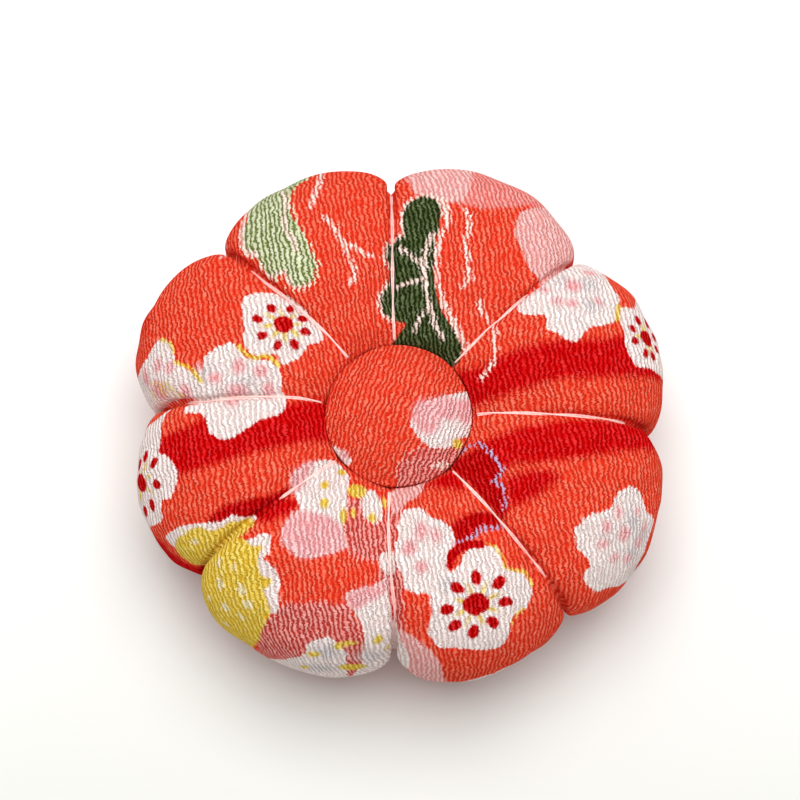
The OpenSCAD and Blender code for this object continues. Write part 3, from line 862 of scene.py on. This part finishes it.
class Nodes:
    """Short words for putting nodes in a tree."""

    def __init__(self, tree):
        self.tree = tree

    def feed(self, socket, value):
        if isinstance(value, bpy.types.NodeSocket):
            self.tree.links.new(value, socket)
        else:
            socket.default_value = value

    def put(self, kind, inputs, output=0, **settings):
        node = self.tree.nodes.new("ShaderNode" + kind)
        for key, value in settings.items():
            setattr(node, key, value)
        for key, value in inputs.items():
            self.feed(node.inputs[key], value)
        return node.outputs[output]

    def math(self, operation, *values):
        return self.put("Math", dict(enumerate(values)), operation=operation)

    def seen(self):
        """1 for what the camera sees, also in metal and glass, and 0 for the light that falls on things."""
        seen = self.put("LightPath", {}, "Is Camera Ray")
        for ray in ("Is Glossy Ray", "Is Transmission Ray"):
            seen = self.math("MAXIMUM", seen, self.put("LightPath", {}, ray))
        return seen


class Tree(Nodes):
    """Short words for making a material from nodes."""

    def __init__(self, name, **shader):
        self.material = bpy.data.materials.new(name)
        self.material.use_nodes = True
        super().__init__(self.material.node_tree)
        self.shader = self.tree.nodes["Principled BSDF"]
        for socket, value in shader.items():
            self.feed(self.shader.inputs[socket.replace("_", " ").title().replace("Ior", "IOR")], value)

    def ramp(self, value, start, end, low=0.0, high=1.0, kind="LINEAR"):
        """A value between start and end taken to one between low and high."""
        return self.put("MapRange", dict(enumerate((value, start, end, low, high))), interpolation_type=kind)

    def span(self, value, low, high):
        return self.ramp(value, 0.0, 1.0, low, high)

    def inside(self, distance, soft):
        """1 inside a motif and 0 outside it, from the distance to its edge."""
        return self.ramp(distance, -soft, soft, 1.0, 0.0, "SMOOTHSTEP")

    def mix(self, share, a, b):
        return self.put("Mix", {0: share, 6: a, 7: b}, 2, data_type="RGBA")

    def scaled(self, colour, factor):
        return self.put("VectorMath", {0: colour, "Scale": factor}, operation="SCALE")

    def wave(self, value, length):
        """A wave from 0 to 1, with a crest at 0 and at each whole length."""
        turn = self.math("MULTIPLY", value, 2 * math.pi / length)
        return self.math("MULTIPLY_ADD", self.math("COSINE", turn), 0.5, 0.5)

    def flat(self, layer, lean=0.0):
        """The two coordinates of a flat layout, turned by an angle."""
        place = self.put("UVMap", {}, uv_map=layer)
        if lean:
            place = self.put("VectorRotate", {"Vector": place, "Angle": lean}, rotation_type="Z_AXIS")
        return [self.put("SeparateXYZ", {0: place}, axis) for axis in (0, 1)]

    def noise(self, vector, scale=1.0, detail=1.0, dimensions="2D"):
        inputs = {"Vector": vector, "Scale": scale, "Detail": detail}
        return self.put("TexNoise", inputs, noise_dimensions=dimensions)

    def flecks(self, size_mm, detail):
        """Noise from 0 to 1 in the solid, with flecks of a size."""
        return self.noise(self.put("TexCoord", {}, "Object"), 1 / (size_mm * MM), detail, "3D")

    def streaks(self, x, y):
        return self.noise(self.put("CombineXYZ", {0: x, 1: y}))

    def patch(self, x, y, size):
        """Noise from 0 to 1 whose patches have a size in x and y."""
        return self.streaks(self.math("DIVIDE", x, size[0]), self.math("DIVIDE", y, size[1]))

    def offset(self, value, patch, amount):
        """The value moved either way by up to half the amount."""
        return self.math("ADD", value, self.math("MULTIPLY", self.math("SUBTRACT", patch, 0.5), amount))

    def bump(self, height, distance_mm):
        bump = self.put("Bump", {"Height": height, "Distance": distance_mm * MM})
        self.feed(self.shader.inputs["Normal"], bump)

    def colour(self, colour):
        self.feed(self.shader.inputs["Base Color"], colour)


def crepe(name, layers, ridge_mm, lean):
    """Crepe with wavy ridges and a print, whose motifs are fields on the mesh, with painted shade in its
    valleys and painted highlight on its crests.
    """
    t = Tree(name, roughness=0.8, specular_ior_level=0.0)
    x, y = t.flat("cloth", lean)
    grain = t.patch(x, y, GRAIN_SIZE_MM)
    bent = t.offset(x, t.patch(x, y, WANDER_SIZE_MM), WANDER_MM)
    bent = t.offset(bent, t.patch(x, y, CRINKLE_SIZE_MM), CRINKLE_MM)
    turns = t.math("DIVIDE", t.offset(bent, t.patch(x, y, FRET_SIZE_MM), FRET_MM), ridge_mm)
    wave = t.wave(turns, 1)
    broad = t.math("MULTIPLY", wave, t.math("MULTIPLY_ADD", wave, -BROADNESS, 1 + BROADNESS))
    ridge = t.math("MULTIPLY", t.math("ROUND", turns), RIDGE_STRIDE)
    swell = t.streaks(ridge, t.math("MULTIPLY", y, SWELL_PER_MM))
    height = t.math("MULTIPLY", t.span(swell, *SWELLS), broad)
    jag = t.streaks(ridge, t.math("MULTIPLY", y, JAG_PER_MM))
    colour = linear(GROUND)
    for layer in layers:
        rgb, soft, crest_mm = COLOURS[layer]
        field = t.put("Attribute", {}, 2, attribute_name=layer)
        # A painted crest highlight stays inside its motif and shows on the crests alone.
        if layer in CREST_HIGHLIGHTS:
            field = t.math("MAXIMUM", field, CREST_HIGHLIGHT_EDGE)
        edge = t.offset(t.offset(t.offset(field, jag, JAG_MM), grain, FRAY_MM), height, -crest_mm)
        colour = t.mix(t.inside(edge, soft), colour, linear(rgb))
    # Painted shade and highlight: each colour deeper and darker in the valleys and lighter on the crests,
    # uneven with the grain, and darker still in the valleys of pale colours.
    ridge_light_and_shade = t.put("Gamma", {0: colour, 1: t.span(height, VALLEY_GAMMA, CREST_GAMMA)})
    pale = t.ramp(t.put("SeparateColor", {0: colour}, 1), PALE_FROM, PALE_FULL)
    shade = t.offset(t.span(height, VALLEY_SHADE, CREST_SHADE), grain, GRAIN_SHADE)
    valley = t.math("MULTIPLY", pale, t.span(height, PALE_VALLEY, 0.0))
    t.colour(t.scaled(ridge_light_and_shade, t.math("SUBTRACT", shade, valley)))
    t.bump(t.offset(height, grain, GRAIN_HEIGHT), RIDGE_BUMP_MM)
    return t.material


def fibrous(name, rgb, fleck, grain_mm, depth_mm, roughness):
    """Thread, felt or yarn: fine flecks of a second colour, and a soft uneven surface."""
    t = Tree(name, roughness=roughness, sheen_weight=0.3, sheen_roughness=0.5)
    flecks = t.flecks(grain_mm, 3.0)
    share = t.ramp(flecks, 0.0, 1.0, *FLECK_SPREAD, "SMOOTHSTEP")
    t.colour(t.mix(share, linear(rgb), linear(fleck)))
    t.bump(flecks, depth_mm)
    return t.material


def woven(name, rgb, shade, rib_mm, pick_mm):
    """Elastic: cords along its length, crossed by fine picks of yarn."""
    t = Tree(name, roughness=0.7, sheen_weight=0.2, sheen_roughness=0.5)
    x, y = t.flat("strip")
    side = t.math("ROUND", t.math("DIVIDE", y, rib_mm / 2))
    picks = t.wave(t.math("MULTIPLY_ADD", side, pick_mm / 2, x), pick_mm)
    cords = t.wave(y, rib_mm / 2)
    height = t.math("MULTIPLY", picks, t.span(cords, CORD_LOW, 1.0))
    uneven = t.offset(height, t.patch(x, y, YARN_SIZE_MM), YARN_UNEVEN)
    # Painted shade: the colour goes to the darker shade where the weave is low, between the cords and picks
    # and with the yarn's unevenness.
    t.colour(t.mix(t.span(uneven, 1.0, 0.0), linear(rgb), linear(shade)))
    t.bump(uneven, ELASTIC_BUMP_MM)
    return t.material


def metal(name, rgb, roughness, streak_mm):
    """Drawn or spun metal with fine streaks."""
    t = Tree(name, metallic=1.0, base_color=linear(rgb))
    streaks = t.flecks(streak_mm, 4.0)
    uneven = t.span(streaks, roughness - STREAK_LESS, roughness + STREAK_MORE)
    t.feed(t.shader.inputs["Roughness"], uneven)
    t.bump(streaks, STREAK_BUMP_MM)
    return t.material


def moulded(name, rgb, shade):
    """Moulded plastic with a fine matt grain."""
    t = Tree(name, roughness=0.55)
    grain = t.flecks(MATT_GRAIN_MM, 3.0)
    t.colour(t.mix(grain, linear(rgb), linear(shade)))
    t.bump(grain, MATT_BUMP_MM)
    return t.material


# Pieces, with lengths in millimetres

CUSHION_SEED, BUTTON_SEED, FELT_SEED = 3, 5, 8
CUSHION_FILL, BAKE_MARGIN = 0.9, 4

# Gathers on the underside: how many, how deep, and how they sway
PLEATS, PLEAT_MM, PLEAT_SWAY, PLEAT_SWAYS = 136, 0.28, 3, 5

# Dividing thread: where it starts and shows at the button, and where the petals close over it on the side
THREAD_TOP_R, THREAD_SHOWS_R = 9.75, 10.3
THREAD_HIDES_R = (28.0, 21.5, 30.0, 26.0, 26.0, 17.5, 28.0, 26.5)
THREAD_HIDES_OVER, THREAD_RETURN_Z = 4.0, (6.0, 9.0)
THREAD_LIFT, THREAD_SINK = 0.16, 0.75
STRAND_R, STRAND_TURN_MM, STRAND_FLAT = 0.12, 14.0, 0.6
STRAND_STEP_MM, STRAND_SIDES = 0.3, 8

# Covered button: dome, rim and hem
BUTTON_R, BUTTON_Z, DOME_Z, BUTTON_TOP_Z, HEM_R = 9.4, 25.0, 26.0, 29.6, 7.4
BUTTON_CLOTH, DOME_IN, CROWN_HOLE_R = 0.4, 0.3, 0.12
RIM_IN, RIM_DROP, HEM_RISE = (0.1, 0.0, 0.02, 0.2, 0.6), 0.15, 0.1
BUTTON_COLUMNS, BUTTON_TOP_ROWS, BUTTON_RIM_ROWS = 288, 46, 8
BUTTON_LUMP, BUTTON_CLOTH_PLACE = 0.4, 40

# Felt base and its stitches, whose path is given as distances from the axis and heights above the underside
FELT_R, FELT_Z, FELT_T, FELT_HOLE_R = 18.0, 4.4, 1.2, 2.1
FELT_COLUMNS, FELT_ROWS, FELT_EDGE_ROWS = 240, 40, 9
FELT_EDGE, FELT_LUMP, FELT_LUMP_SCALE = 0.5, 0.5, 3
WHIP_STITCHES, WHIP_R, WHIP_SLANT, WHIP_END_R = 46, 0.2, math.radians(2), 19.8
WHIP_PATH = ((16.4, 0.2), (16.9, -0.12), (17.7, -0.1), (18.25, 0.5), (18.7, 1.4))
WHIP_BITE = (-0.1, 0.4)
WHIP_STEP_MM, BARTACK_STEP_MM, STITCH_SIDES = 0.3, 0.2, 6

# Band: its section, the heights of its runs, and its bends and folds
BAND_W, BAND_T, BAND_RIB, BAND_PICK, BAND_STEP_MM = 18.0, 1.2, 1.5, 0.7, 0.3
BAND_ACROSS, BAND_EDGE, BAND_EDGE_THIN, RIB_DEPTH = 97, 0.5, 0.96, 0.07
LOWER_Z, UPPER_Z, LAP_Z = 0.6, 2.6, 3.8
BEND_X, FOLD_X, FOLD_R, LAP_X, MEET_X = 10.0, 29.4, 1.0, 8.8, 8.0
FOLD_Z, FOLD_REACH, BEND_REACH, FOLD_STEPS = (LOWER_Z + UPPER_Z) / 2, 3.2, 1.5, 25
NOSE_TURN, NOSE_STEPS = 0.47 * math.pi, 6
BARTACK_X, BARTACK_L, BARTACK_W, BARTACK_LEGS = 7.0, 13.0, 1.2, 34
BARTACK_Z, BARTACK_R = 1.86, 0.16


def finish_piece(obj, material, slot_name, body, *nodes):
    obj.data.materials.append(material)
    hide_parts(*nodes)
    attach(obj, body)


def pleats(points):
    """Gathers of the cloth on the underside, deeper towards the mouth."""
    r = np.hypot(points[..., 0], points[..., 1])
    angle = np.arctan2(points[..., 1], points[..., 0])
    under = np.clip((FOOT_R - r) / (FOOT_R - BASE_EDGE_R), 0, 1) * (points[..., 2] < WAIST_Z)
    return PLEAT_MM * under * np.sin(PLEATS * angle + PLEAT_SWAY * np.sin(PLEAT_SWAYS * angle))


def dented(smooth, folds):
    """The cushion with its lumps, gathers and folds."""
    from_button = ease(np.hypot(smooth[..., 0], smooth[..., 1]), LUMP_FROM_R, LUMP_FULL_R)
    out = from_button * lumps(smooth, CUSHION_SEED) + pleats(smooth) + folds
    return smooth + grid_normals(smooth) * out[..., None]


def make_cushion(points, smooth, cloth):
    """The printed cushion; its print is laid out on the smooth form, before the creases."""
    obj = new_object("petal_cushion", points.reshape(-1, 3) * MM, ring_faces(*points.shape[:2]))
    add_uv(obj, "cloth", cloth.reshape(-1, 2))
    reach = 2 * np.abs(cloth).max() + BAKE_MARGIN
    add_uv(obj, "OFBake", cloth.reshape(-1, 2) / reach + 0.5)
    printed = Print(smooth.reshape(-1, 3), grid_normals(smooth).reshape(-1, 3))
    print_cushion(printed)
    material = crepe("printed_crepe", printed.keep(obj), CUSHION_RIDGE_MM, CUSHION_LEAN)
    finish_piece(obj, material, "crepe_print", "cushion", "cushion_cover", "stuffing")


def thread_path(points, normals, groove):
    """Middle of the thread in a groove, from the button to the mouth below.

    It sinks into the fold where the petals close over it on the side.
    """
    column = groove * COLUMNS_PER_PETAL
    r, z = np.hypot(*points[column, :, :2].T), points[column, :, 2]
    hides_r = THREAD_HIDES_R[groove]
    closed = ease(r, hides_r, hides_r + THREAD_HIDES_OVER) * ease(z, *THREAD_RETURN_Z)
    pressed = (1 - ease(r, THREAD_TOP_R, THREAD_SHOWS_R)) * (z > WAIST_Z)
    lift = THREAD_LIFT - THREAD_SINK * np.maximum(closed, pressed)
    start = np.argmax(r > THREAD_TOP_R)
    return resampled((points[column] + lift[:, None] * normals[column])[start:], STRAND_STEP_MM)


def make_threads(points, normals, material):
    """Two strands twisted loosely together in each groove."""
    parts = []
    for groove in range(PETALS):
        path = thread_path(points, normals, groove)
        side = unit(np.cross((0, 0, 1), path))
        rise = unit(np.cross(np.gradient(path, axis=0), side))
        turn = 2 * math.pi * STRAND_STEP_MM / STRAND_TURN_MM * np.arange(len(path))[:, None] + groove
        for half in (0, math.pi):
            out = side * np.cos(turn + half) + STRAND_FLAT * rise * np.sin(turn + half)
            parts.append(tube(path + STRAND_R * out, STRAND_R, STRAND_SIDES))
    vertices, faces = joined(parts)
    obj = new_object("dividing_threads", vertices * MM, faces)
    finish_piece(obj, material, "pale_thread", "cushion", "dividing_thread")


def button_section():
    """Points (r, z) of the button's cloth, from the middle of the dome to the hem below."""
    rise = BUTTON_TOP_Z - DOME_Z
    sphere = (BUTTON_R ** 2 + rise ** 2) / (2 * rise)
    r = np.linspace(CROWN_HOLE_R, BUTTON_R - DOME_IN, BUTTON_TOP_ROWS)
    dome = np.stack([r, BUTTON_TOP_Z - sphere + np.sqrt(sphere ** 2 - r ** 2)], 1)
    low = BUTTON_Z - BUTTON_CLOTH
    rim_z = (dome[-1, 1] - RIM_DROP, DOME_Z - RIM_DROP, BUTTON_Z, low + HEM_RISE, low)
    guide = np.array([dome[-1], *zip(BUTTON_R - np.array(RIM_IN), rim_z), (HEM_R, low)])
    mark = np.arange(len(guide))
    fine = np.linspace(0, mark[-1], mark[-1] * BUTTON_RIM_ROWS + 1)[1:]
    rim = np.stack([hermite(mark, axis, fine) for axis in guide.T], 1)
    return np.concatenate([dome, rim])


def make_button():
    profile = button_section()
    r, z = profile.T
    angles = round_angles(BUTTON_COLUMNS)
    points = np.array([upright(r, angle, z) for angle in angles])
    cloth = np.array([polar(r[0] + lengths(profile), angle) for angle in angles])
    normals = grid_normals(points)
    points = points + normals * lumps(points, BUTTON_SEED)[..., None] * BUTTON_LUMP
    count, rows = points.shape[:2]
    crown = tuple(column * rows for column in range(count))
    obj = new_object("button_cloth", points.reshape(-1, 3) * MM, ring_faces(count, rows) + [crown])
    add_uv(obj, "cloth", cloth.reshape(-1, 2) + BUTTON_CLOTH_PLACE)
    printed = Print(points.reshape(-1, 3), normals.reshape(-1, 3))
    print_outlines(printed, BUTTON_OUTLINES, BUTTON_OVALS)
    material = crepe("button_crepe", printed.keep(obj), BUTTON_RIDGE_MM, BUTTON_LEAN)
    finish_piece(obj, material, "button_crepe", "cushion", "button_cover")


def felt_section():
    """Points (r, z) round the felt, from the hole over its top, edge and underside, and back."""
    half = FELT_T / 2
    radii = np.linspace(FELT_HOLE_R, FELT_R - half, FELT_ROWS)
    over = np.stack([radii, np.full(len(radii), FELT_Z + FELT_T)], 1)
    under = np.stack([radii[::-1], np.full(len(radii), FELT_Z)], 1)
    bend = np.linspace(math.pi / 2, -math.pi / 2, FELT_EDGE_ROWS)
    edge = np.stack([FELT_R - half * FELT_EDGE * (1 - np.cos(bend)), FELT_Z + half + half * np.sin(bend)], 1)
    return np.concatenate([over, edge, under, over[:1]])


def make_felt(material):
    """Felt disc with soft edges round a hole for the knot."""
    r, z = felt_section().T
    points = np.array([upright(r, angle, z) for angle in round_angles(FELT_COLUMNS)])
    points += FELT_LUMP * lumps(points * FELT_LUMP_SCALE, FELT_SEED)[..., None] * grid_normals(points)
    obj = new_object("felt_base", points.reshape(-1, 3) * MM, ring_faces(*points.shape[:2]))
    finish_piece(obj, material, "base_felt", "cushion", "base_felt")


def make_whip_stitches(points, material):
    """Slanting stitches that hold the felt's edge to the cushion."""
    parts = []
    low = points[:, -UNDER_ROWS:]
    r, z = np.array(WHIP_PATH).T
    for angle in round_angles(WHIP_STITCHES):
        out = angle + WHIP_SLANT
        gap = np.linalg.norm(low[..., :2] - polar(WHIP_END_R, out), axis=2)
        end = low[np.unravel_index(gap.argmin(), gap.shape)]
        bite = [end + (0, 0, height) for height in WHIP_BITE]
        path = np.concatenate([upright(r, np.linspace(angle, out, len(r)), FELT_Z + z), bite])
        parts.append(tube(resampled(path, WHIP_STEP_MM), WHIP_R, STITCH_SIDES))
    vertices, faces = joined(parts)
    obj = new_object("felt_stitches", vertices * MM, faces)
    finish_piece(obj, material, "stitching", "cushion")


def band_ring():
    """Cross section (across, up) of the elastic, with a cord along each rib and rounded edges."""
    y = np.linspace(-BAND_W / 2, BAND_W / 2, BAND_ACROSS)
    edge = np.clip((np.abs(y) - BAND_W / 2 + BAND_EDGE) / BAND_EDGE, 0, 1)
    ripple = RIB_DEPTH * (1 - np.abs(np.cos(math.pi * y / BAND_RIB)))
    top = (BAND_T / 2 - ripple) * np.sqrt(1 - edge ** 2 * BAND_EDGE_THIN)
    return np.concatenate([np.stack([y, top], 1), np.stack([y[::-1], -top[::-1]], 1)])


def strip(path, nose=False):
    """Vertices, faces and flat coordinates of elastic laid along a path (x, z).

    It ends square, or round with a nose.
    """
    path = resampled(np.asarray(path, float), BAND_STEP_MM)
    thick = np.ones(len(path))
    if nose:
        turn = np.linspace(0, NOSE_TURN, NOSE_STEPS + 1)[1:]
        onward = BAND_T / 2 * unit(path[-1] - path[-2])
        path = np.concatenate([path, path[-1] + np.sin(turn)[:, None] * onward])
        thick = np.concatenate([thick, np.cos(turn)])
    along = unit(np.gradient(path, axis=0))
    up = np.stack([-along[:, 1], along[:, 0]], 1) * thick[:, None]
    across, height = band_ring().T
    spots = path[:, None] + height[None, :, None] * up[:, None]
    count, sides = spots.shape[:2]
    across = np.broadcast_to(across, (count, sides))
    vertices = np.stack([spots[..., 0], across, spots[..., 1]], 2)
    faces = [face[:1] + face[:0:-1] for face in loft_faces(count, sides)]
    length = np.arange(count)[:, None] * BAND_STEP_MM + np.zeros(sides)
    flat = np.stack([length, across], 2)
    return vertices.reshape(-1, 3), faces, flat.reshape(-1, 2)


def make_strip(name, material, *paths, nose=False):
    strips = [strip(path, nose) for path in paths]
    vertices, faces = joined([s[:2] for s in strips])
    obj = new_object(name, vertices * MM, faces)
    add_uv(obj, "strip", np.concatenate([s[2] for s in strips]))
    obj.data.materials.append(material)
    return obj


def fold_path(side):
    """The half turn of the elastic from its upper run to its lower run, on one side."""
    turn = np.linspace(math.pi / 2, -math.pi / 2, FOLD_STEPS)
    return np.stack([side * (FOLD_X + FOLD_R * np.cos(turn)), FOLD_Z + FOLD_R * np.sin(turn)], 1)


def make_band(material):
    """Wrist band: one loop of elastic, folded flat."""
    sewn_run = ((-MEET_X, UPPER_Z), (MEET_X, UPPER_Z))
    lapped_ends = ((-LAP_X, LAP_Z), (LAP_X, LAP_Z))
    sewn = make_strip("band_sewn", material, sewn_run, lapped_ends)
    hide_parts("band_sewn_run")
    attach(sewn, "cushion")
    for name, side in (("left", -1), ("right", 1)):
        upper_run = ((side * MEET_X, UPPER_Z), (side * FOLD_X, UPPER_Z))
        upper = make_strip(f"band_{name}_top", material, upper_run)
        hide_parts(f"band_{name}_upper")
        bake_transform(upper)
        turn = make_strip(f"band_{name}_fold", material, fold_path(side))
        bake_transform(turn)
    bottom = make_strip("band_bottom", material, ((-FOLD_X, LOWER_Z), (BEND_X, LOWER_Z)), nose=True)
    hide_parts("band_left_lower", "band_bottom_run")
    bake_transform(bottom)
    last = make_strip("band_right_bottom", material, ((FOLD_X, LOWER_Z), (BEND_X, LOWER_Z)), nose=True)
    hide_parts("band_right_lower")
    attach(last, "right_lower")


def make_bartacks(material):
    """Two bars of zigzag stitches through the lapped ends."""
    parts = []
    legs = np.arange(BARTACK_LEGS + 1)
    y = BARTACK_L * (legs / BARTACK_LEGS - 0.5)
    for side in (-1, 1):
        x = side * BARTACK_X + BARTACK_W / 2 * np.where(legs % 2, 1, -1)
        path = np.stack([x, y, np.full(len(y), BARTACK_Z)], 1)
        parts.append(tube(resampled(path, BARTACK_STEP_MM), BARTACK_R, STITCH_SIDES))
    vertices, faces = joined(parts)
    obj = new_object("bartack_stitches", vertices * MM, faces)
    finish_piece(obj, material, "stitching", "cushion", "band_bartacks")


def dress_node(node, material):
    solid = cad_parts[node]
    solid.data.materials.clear()
    solid.data.materials.append(material)


# Stage, with lengths in metres

KEY_PLACE, KEY_AIM, KEY_SIZE, KEY_WATTS = (0.03, 0.18, 0.89), (0, 0, 0.015), 0.7, 8.2
SKY_STRENGTH = 0.5
# The floor's colour is painted shade towards the front, darker there, and white behind, changing over
# FLOOR_GRADE either side of the middle.
FLOOR_HALF, FLOOR_GRADE = 2.0, 0.06
FLOOR_NEAR, FLOOR_FAR = (218, 219, 214), (255, 255, 255)
WHITE_FROM, WHITE_FULL = 0.12, 0.4


def make_camera():
    camera = bpy.data.objects.new("camera", bpy.data.cameras.new("camera"))
    scene.collection.objects.link(camera)
    camera.location = Vector(CAMERA_AIM + CAMERA_DISTANCE * TO_CAMERA) * MM
    camera.rotation_euler = Vector(TO_CAMERA).to_track_quat("Z", "Y").to_euler()
    camera.data.sensor_width = SENSOR_MM
    camera.data.lens = SENSOR_MM * PX_PER_MM * CAMERA_DISTANCE / PHOTO_PX
    camera.data.clip_start = CLIP_START_MM * MM
    scene.camera = camera


def make_light():
    """A wide lamp behind and above the part, and an even sky that looks white."""
    world = bpy.data.worlds.new("world")
    scene.world = world
    world.use_nodes = True
    t = Nodes(world.node_tree)
    sky = world.node_tree.nodes["Background"]
    t.feed(sky.inputs["Color"], (1, 1, 1, 1))
    t.feed(sky.inputs["Strength"], t.math("MULTIPLY_ADD", t.seen(), 1 - SKY_STRENGTH, SKY_STRENGTH))
    lamp = bpy.data.objects.new("key", bpy.data.lights.new("key", "AREA"))
    scene.collection.objects.link(lamp)
    lamp.data.size = KEY_SIZE
    lamp.data.energy = KEY_WATTS
    lamp.location = KEY_PLACE
    lamp.rotation_euler = (lamp.location - Vector(KEY_AIM)).to_track_quat("Z", "Y").to_euler()


def make_floor():
    """A pale floor, white far off, that stays under the band's lowest run as the band opens."""
    corners = [(x * FLOOR_HALF, y * FLOOR_HALF, 0) for x, y in ((-1, -1), (1, -1), (1, 1), (-1, 1))]
    floor = new_object("floor", corners, [(0, 1, 2, 3)], smooth=False)
    t = Tree("floor", roughness=0.9)
    place = t.put("TexCoord", {}, "Object")
    # Painted shade: the floor darker towards the front.
    back = t.ramp(t.put("SeparateXYZ", {0: place}, 1), -FLOOR_GRADE, FLOOR_GRADE)
    t.colour(t.mix(back, linear(FLOOR_NEAR), linear(FLOOR_FAR)))
    distance = t.put("VectorMath", {0: place}, 1, operation="LENGTH")
    far = t.ramp(distance, WHITE_FROM, WHITE_FULL, kind="SMOOTHSTEP")
    white = t.put("Emission", {"Strength": 1.0})
    surface = t.put("MixShader", {0: t.math("MULTIPLY", far, t.seen()), 1: t.shader.outputs[0], 2: white})
    t.feed(t.tree.nodes["Material Output"].inputs["Surface"], surface)
    floor.data.materials.append(t.material)
    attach(floor, "bottom_run")


make_camera()
make_light()
make_floor()

# The pale thread's pink tint is painted light: red light bounced from the cloth onto a pale thread.
pale_thread = fibrous("pale_thread", (252, 218, 211), (244, 190, 182), 0.35, 0.05, 0.5)
stitching = fibrous("stitching", (244, 240, 232), (226, 218, 206), 0.3, 0.05, 0.6)
waxed_thread = fibrous("waxed_thread", (232, 222, 204), (214, 200, 176), 0.3, 0.05, 0.45)
felt = fibrous("felt", (176, 44, 42), (140, 24, 26), 0.5, 0.25, 0.9)
elastic = woven("elastic", (240, 234, 222), (205, 196, 180), BAND_RIB, BAND_PICK)
aluminium = metal("button_aluminium", (200, 200, 203), 0.35, 0.3)
steel = metal("shank_steel", (178, 178, 182), 0.3, 0.2)
plastic = moulded("guard_plastic", (238, 238, 234), (228, 228, 222))

smooth, folds, cloth = cushion_grid()
points = dented(smooth, folds)
make_cushion(points, smooth, cloth)
make_threads(points, grid_normals(smooth), pale_thread)
make_button()
make_felt(felt)
make_whip_stitches(points, stitching)
make_band(elastic)
make_bartacks(stitching)
dress_node("button_shell", aluminium)
dress_node("button_back", aluminium)
dress_node("button_shank", steel)
dress_node("pin_guard", plastic)
dress_node("gathering_thread", pale_thread)
dress_node("tie_thread", waxed_thread)

scene.view_settings.view_transform = "Standard"
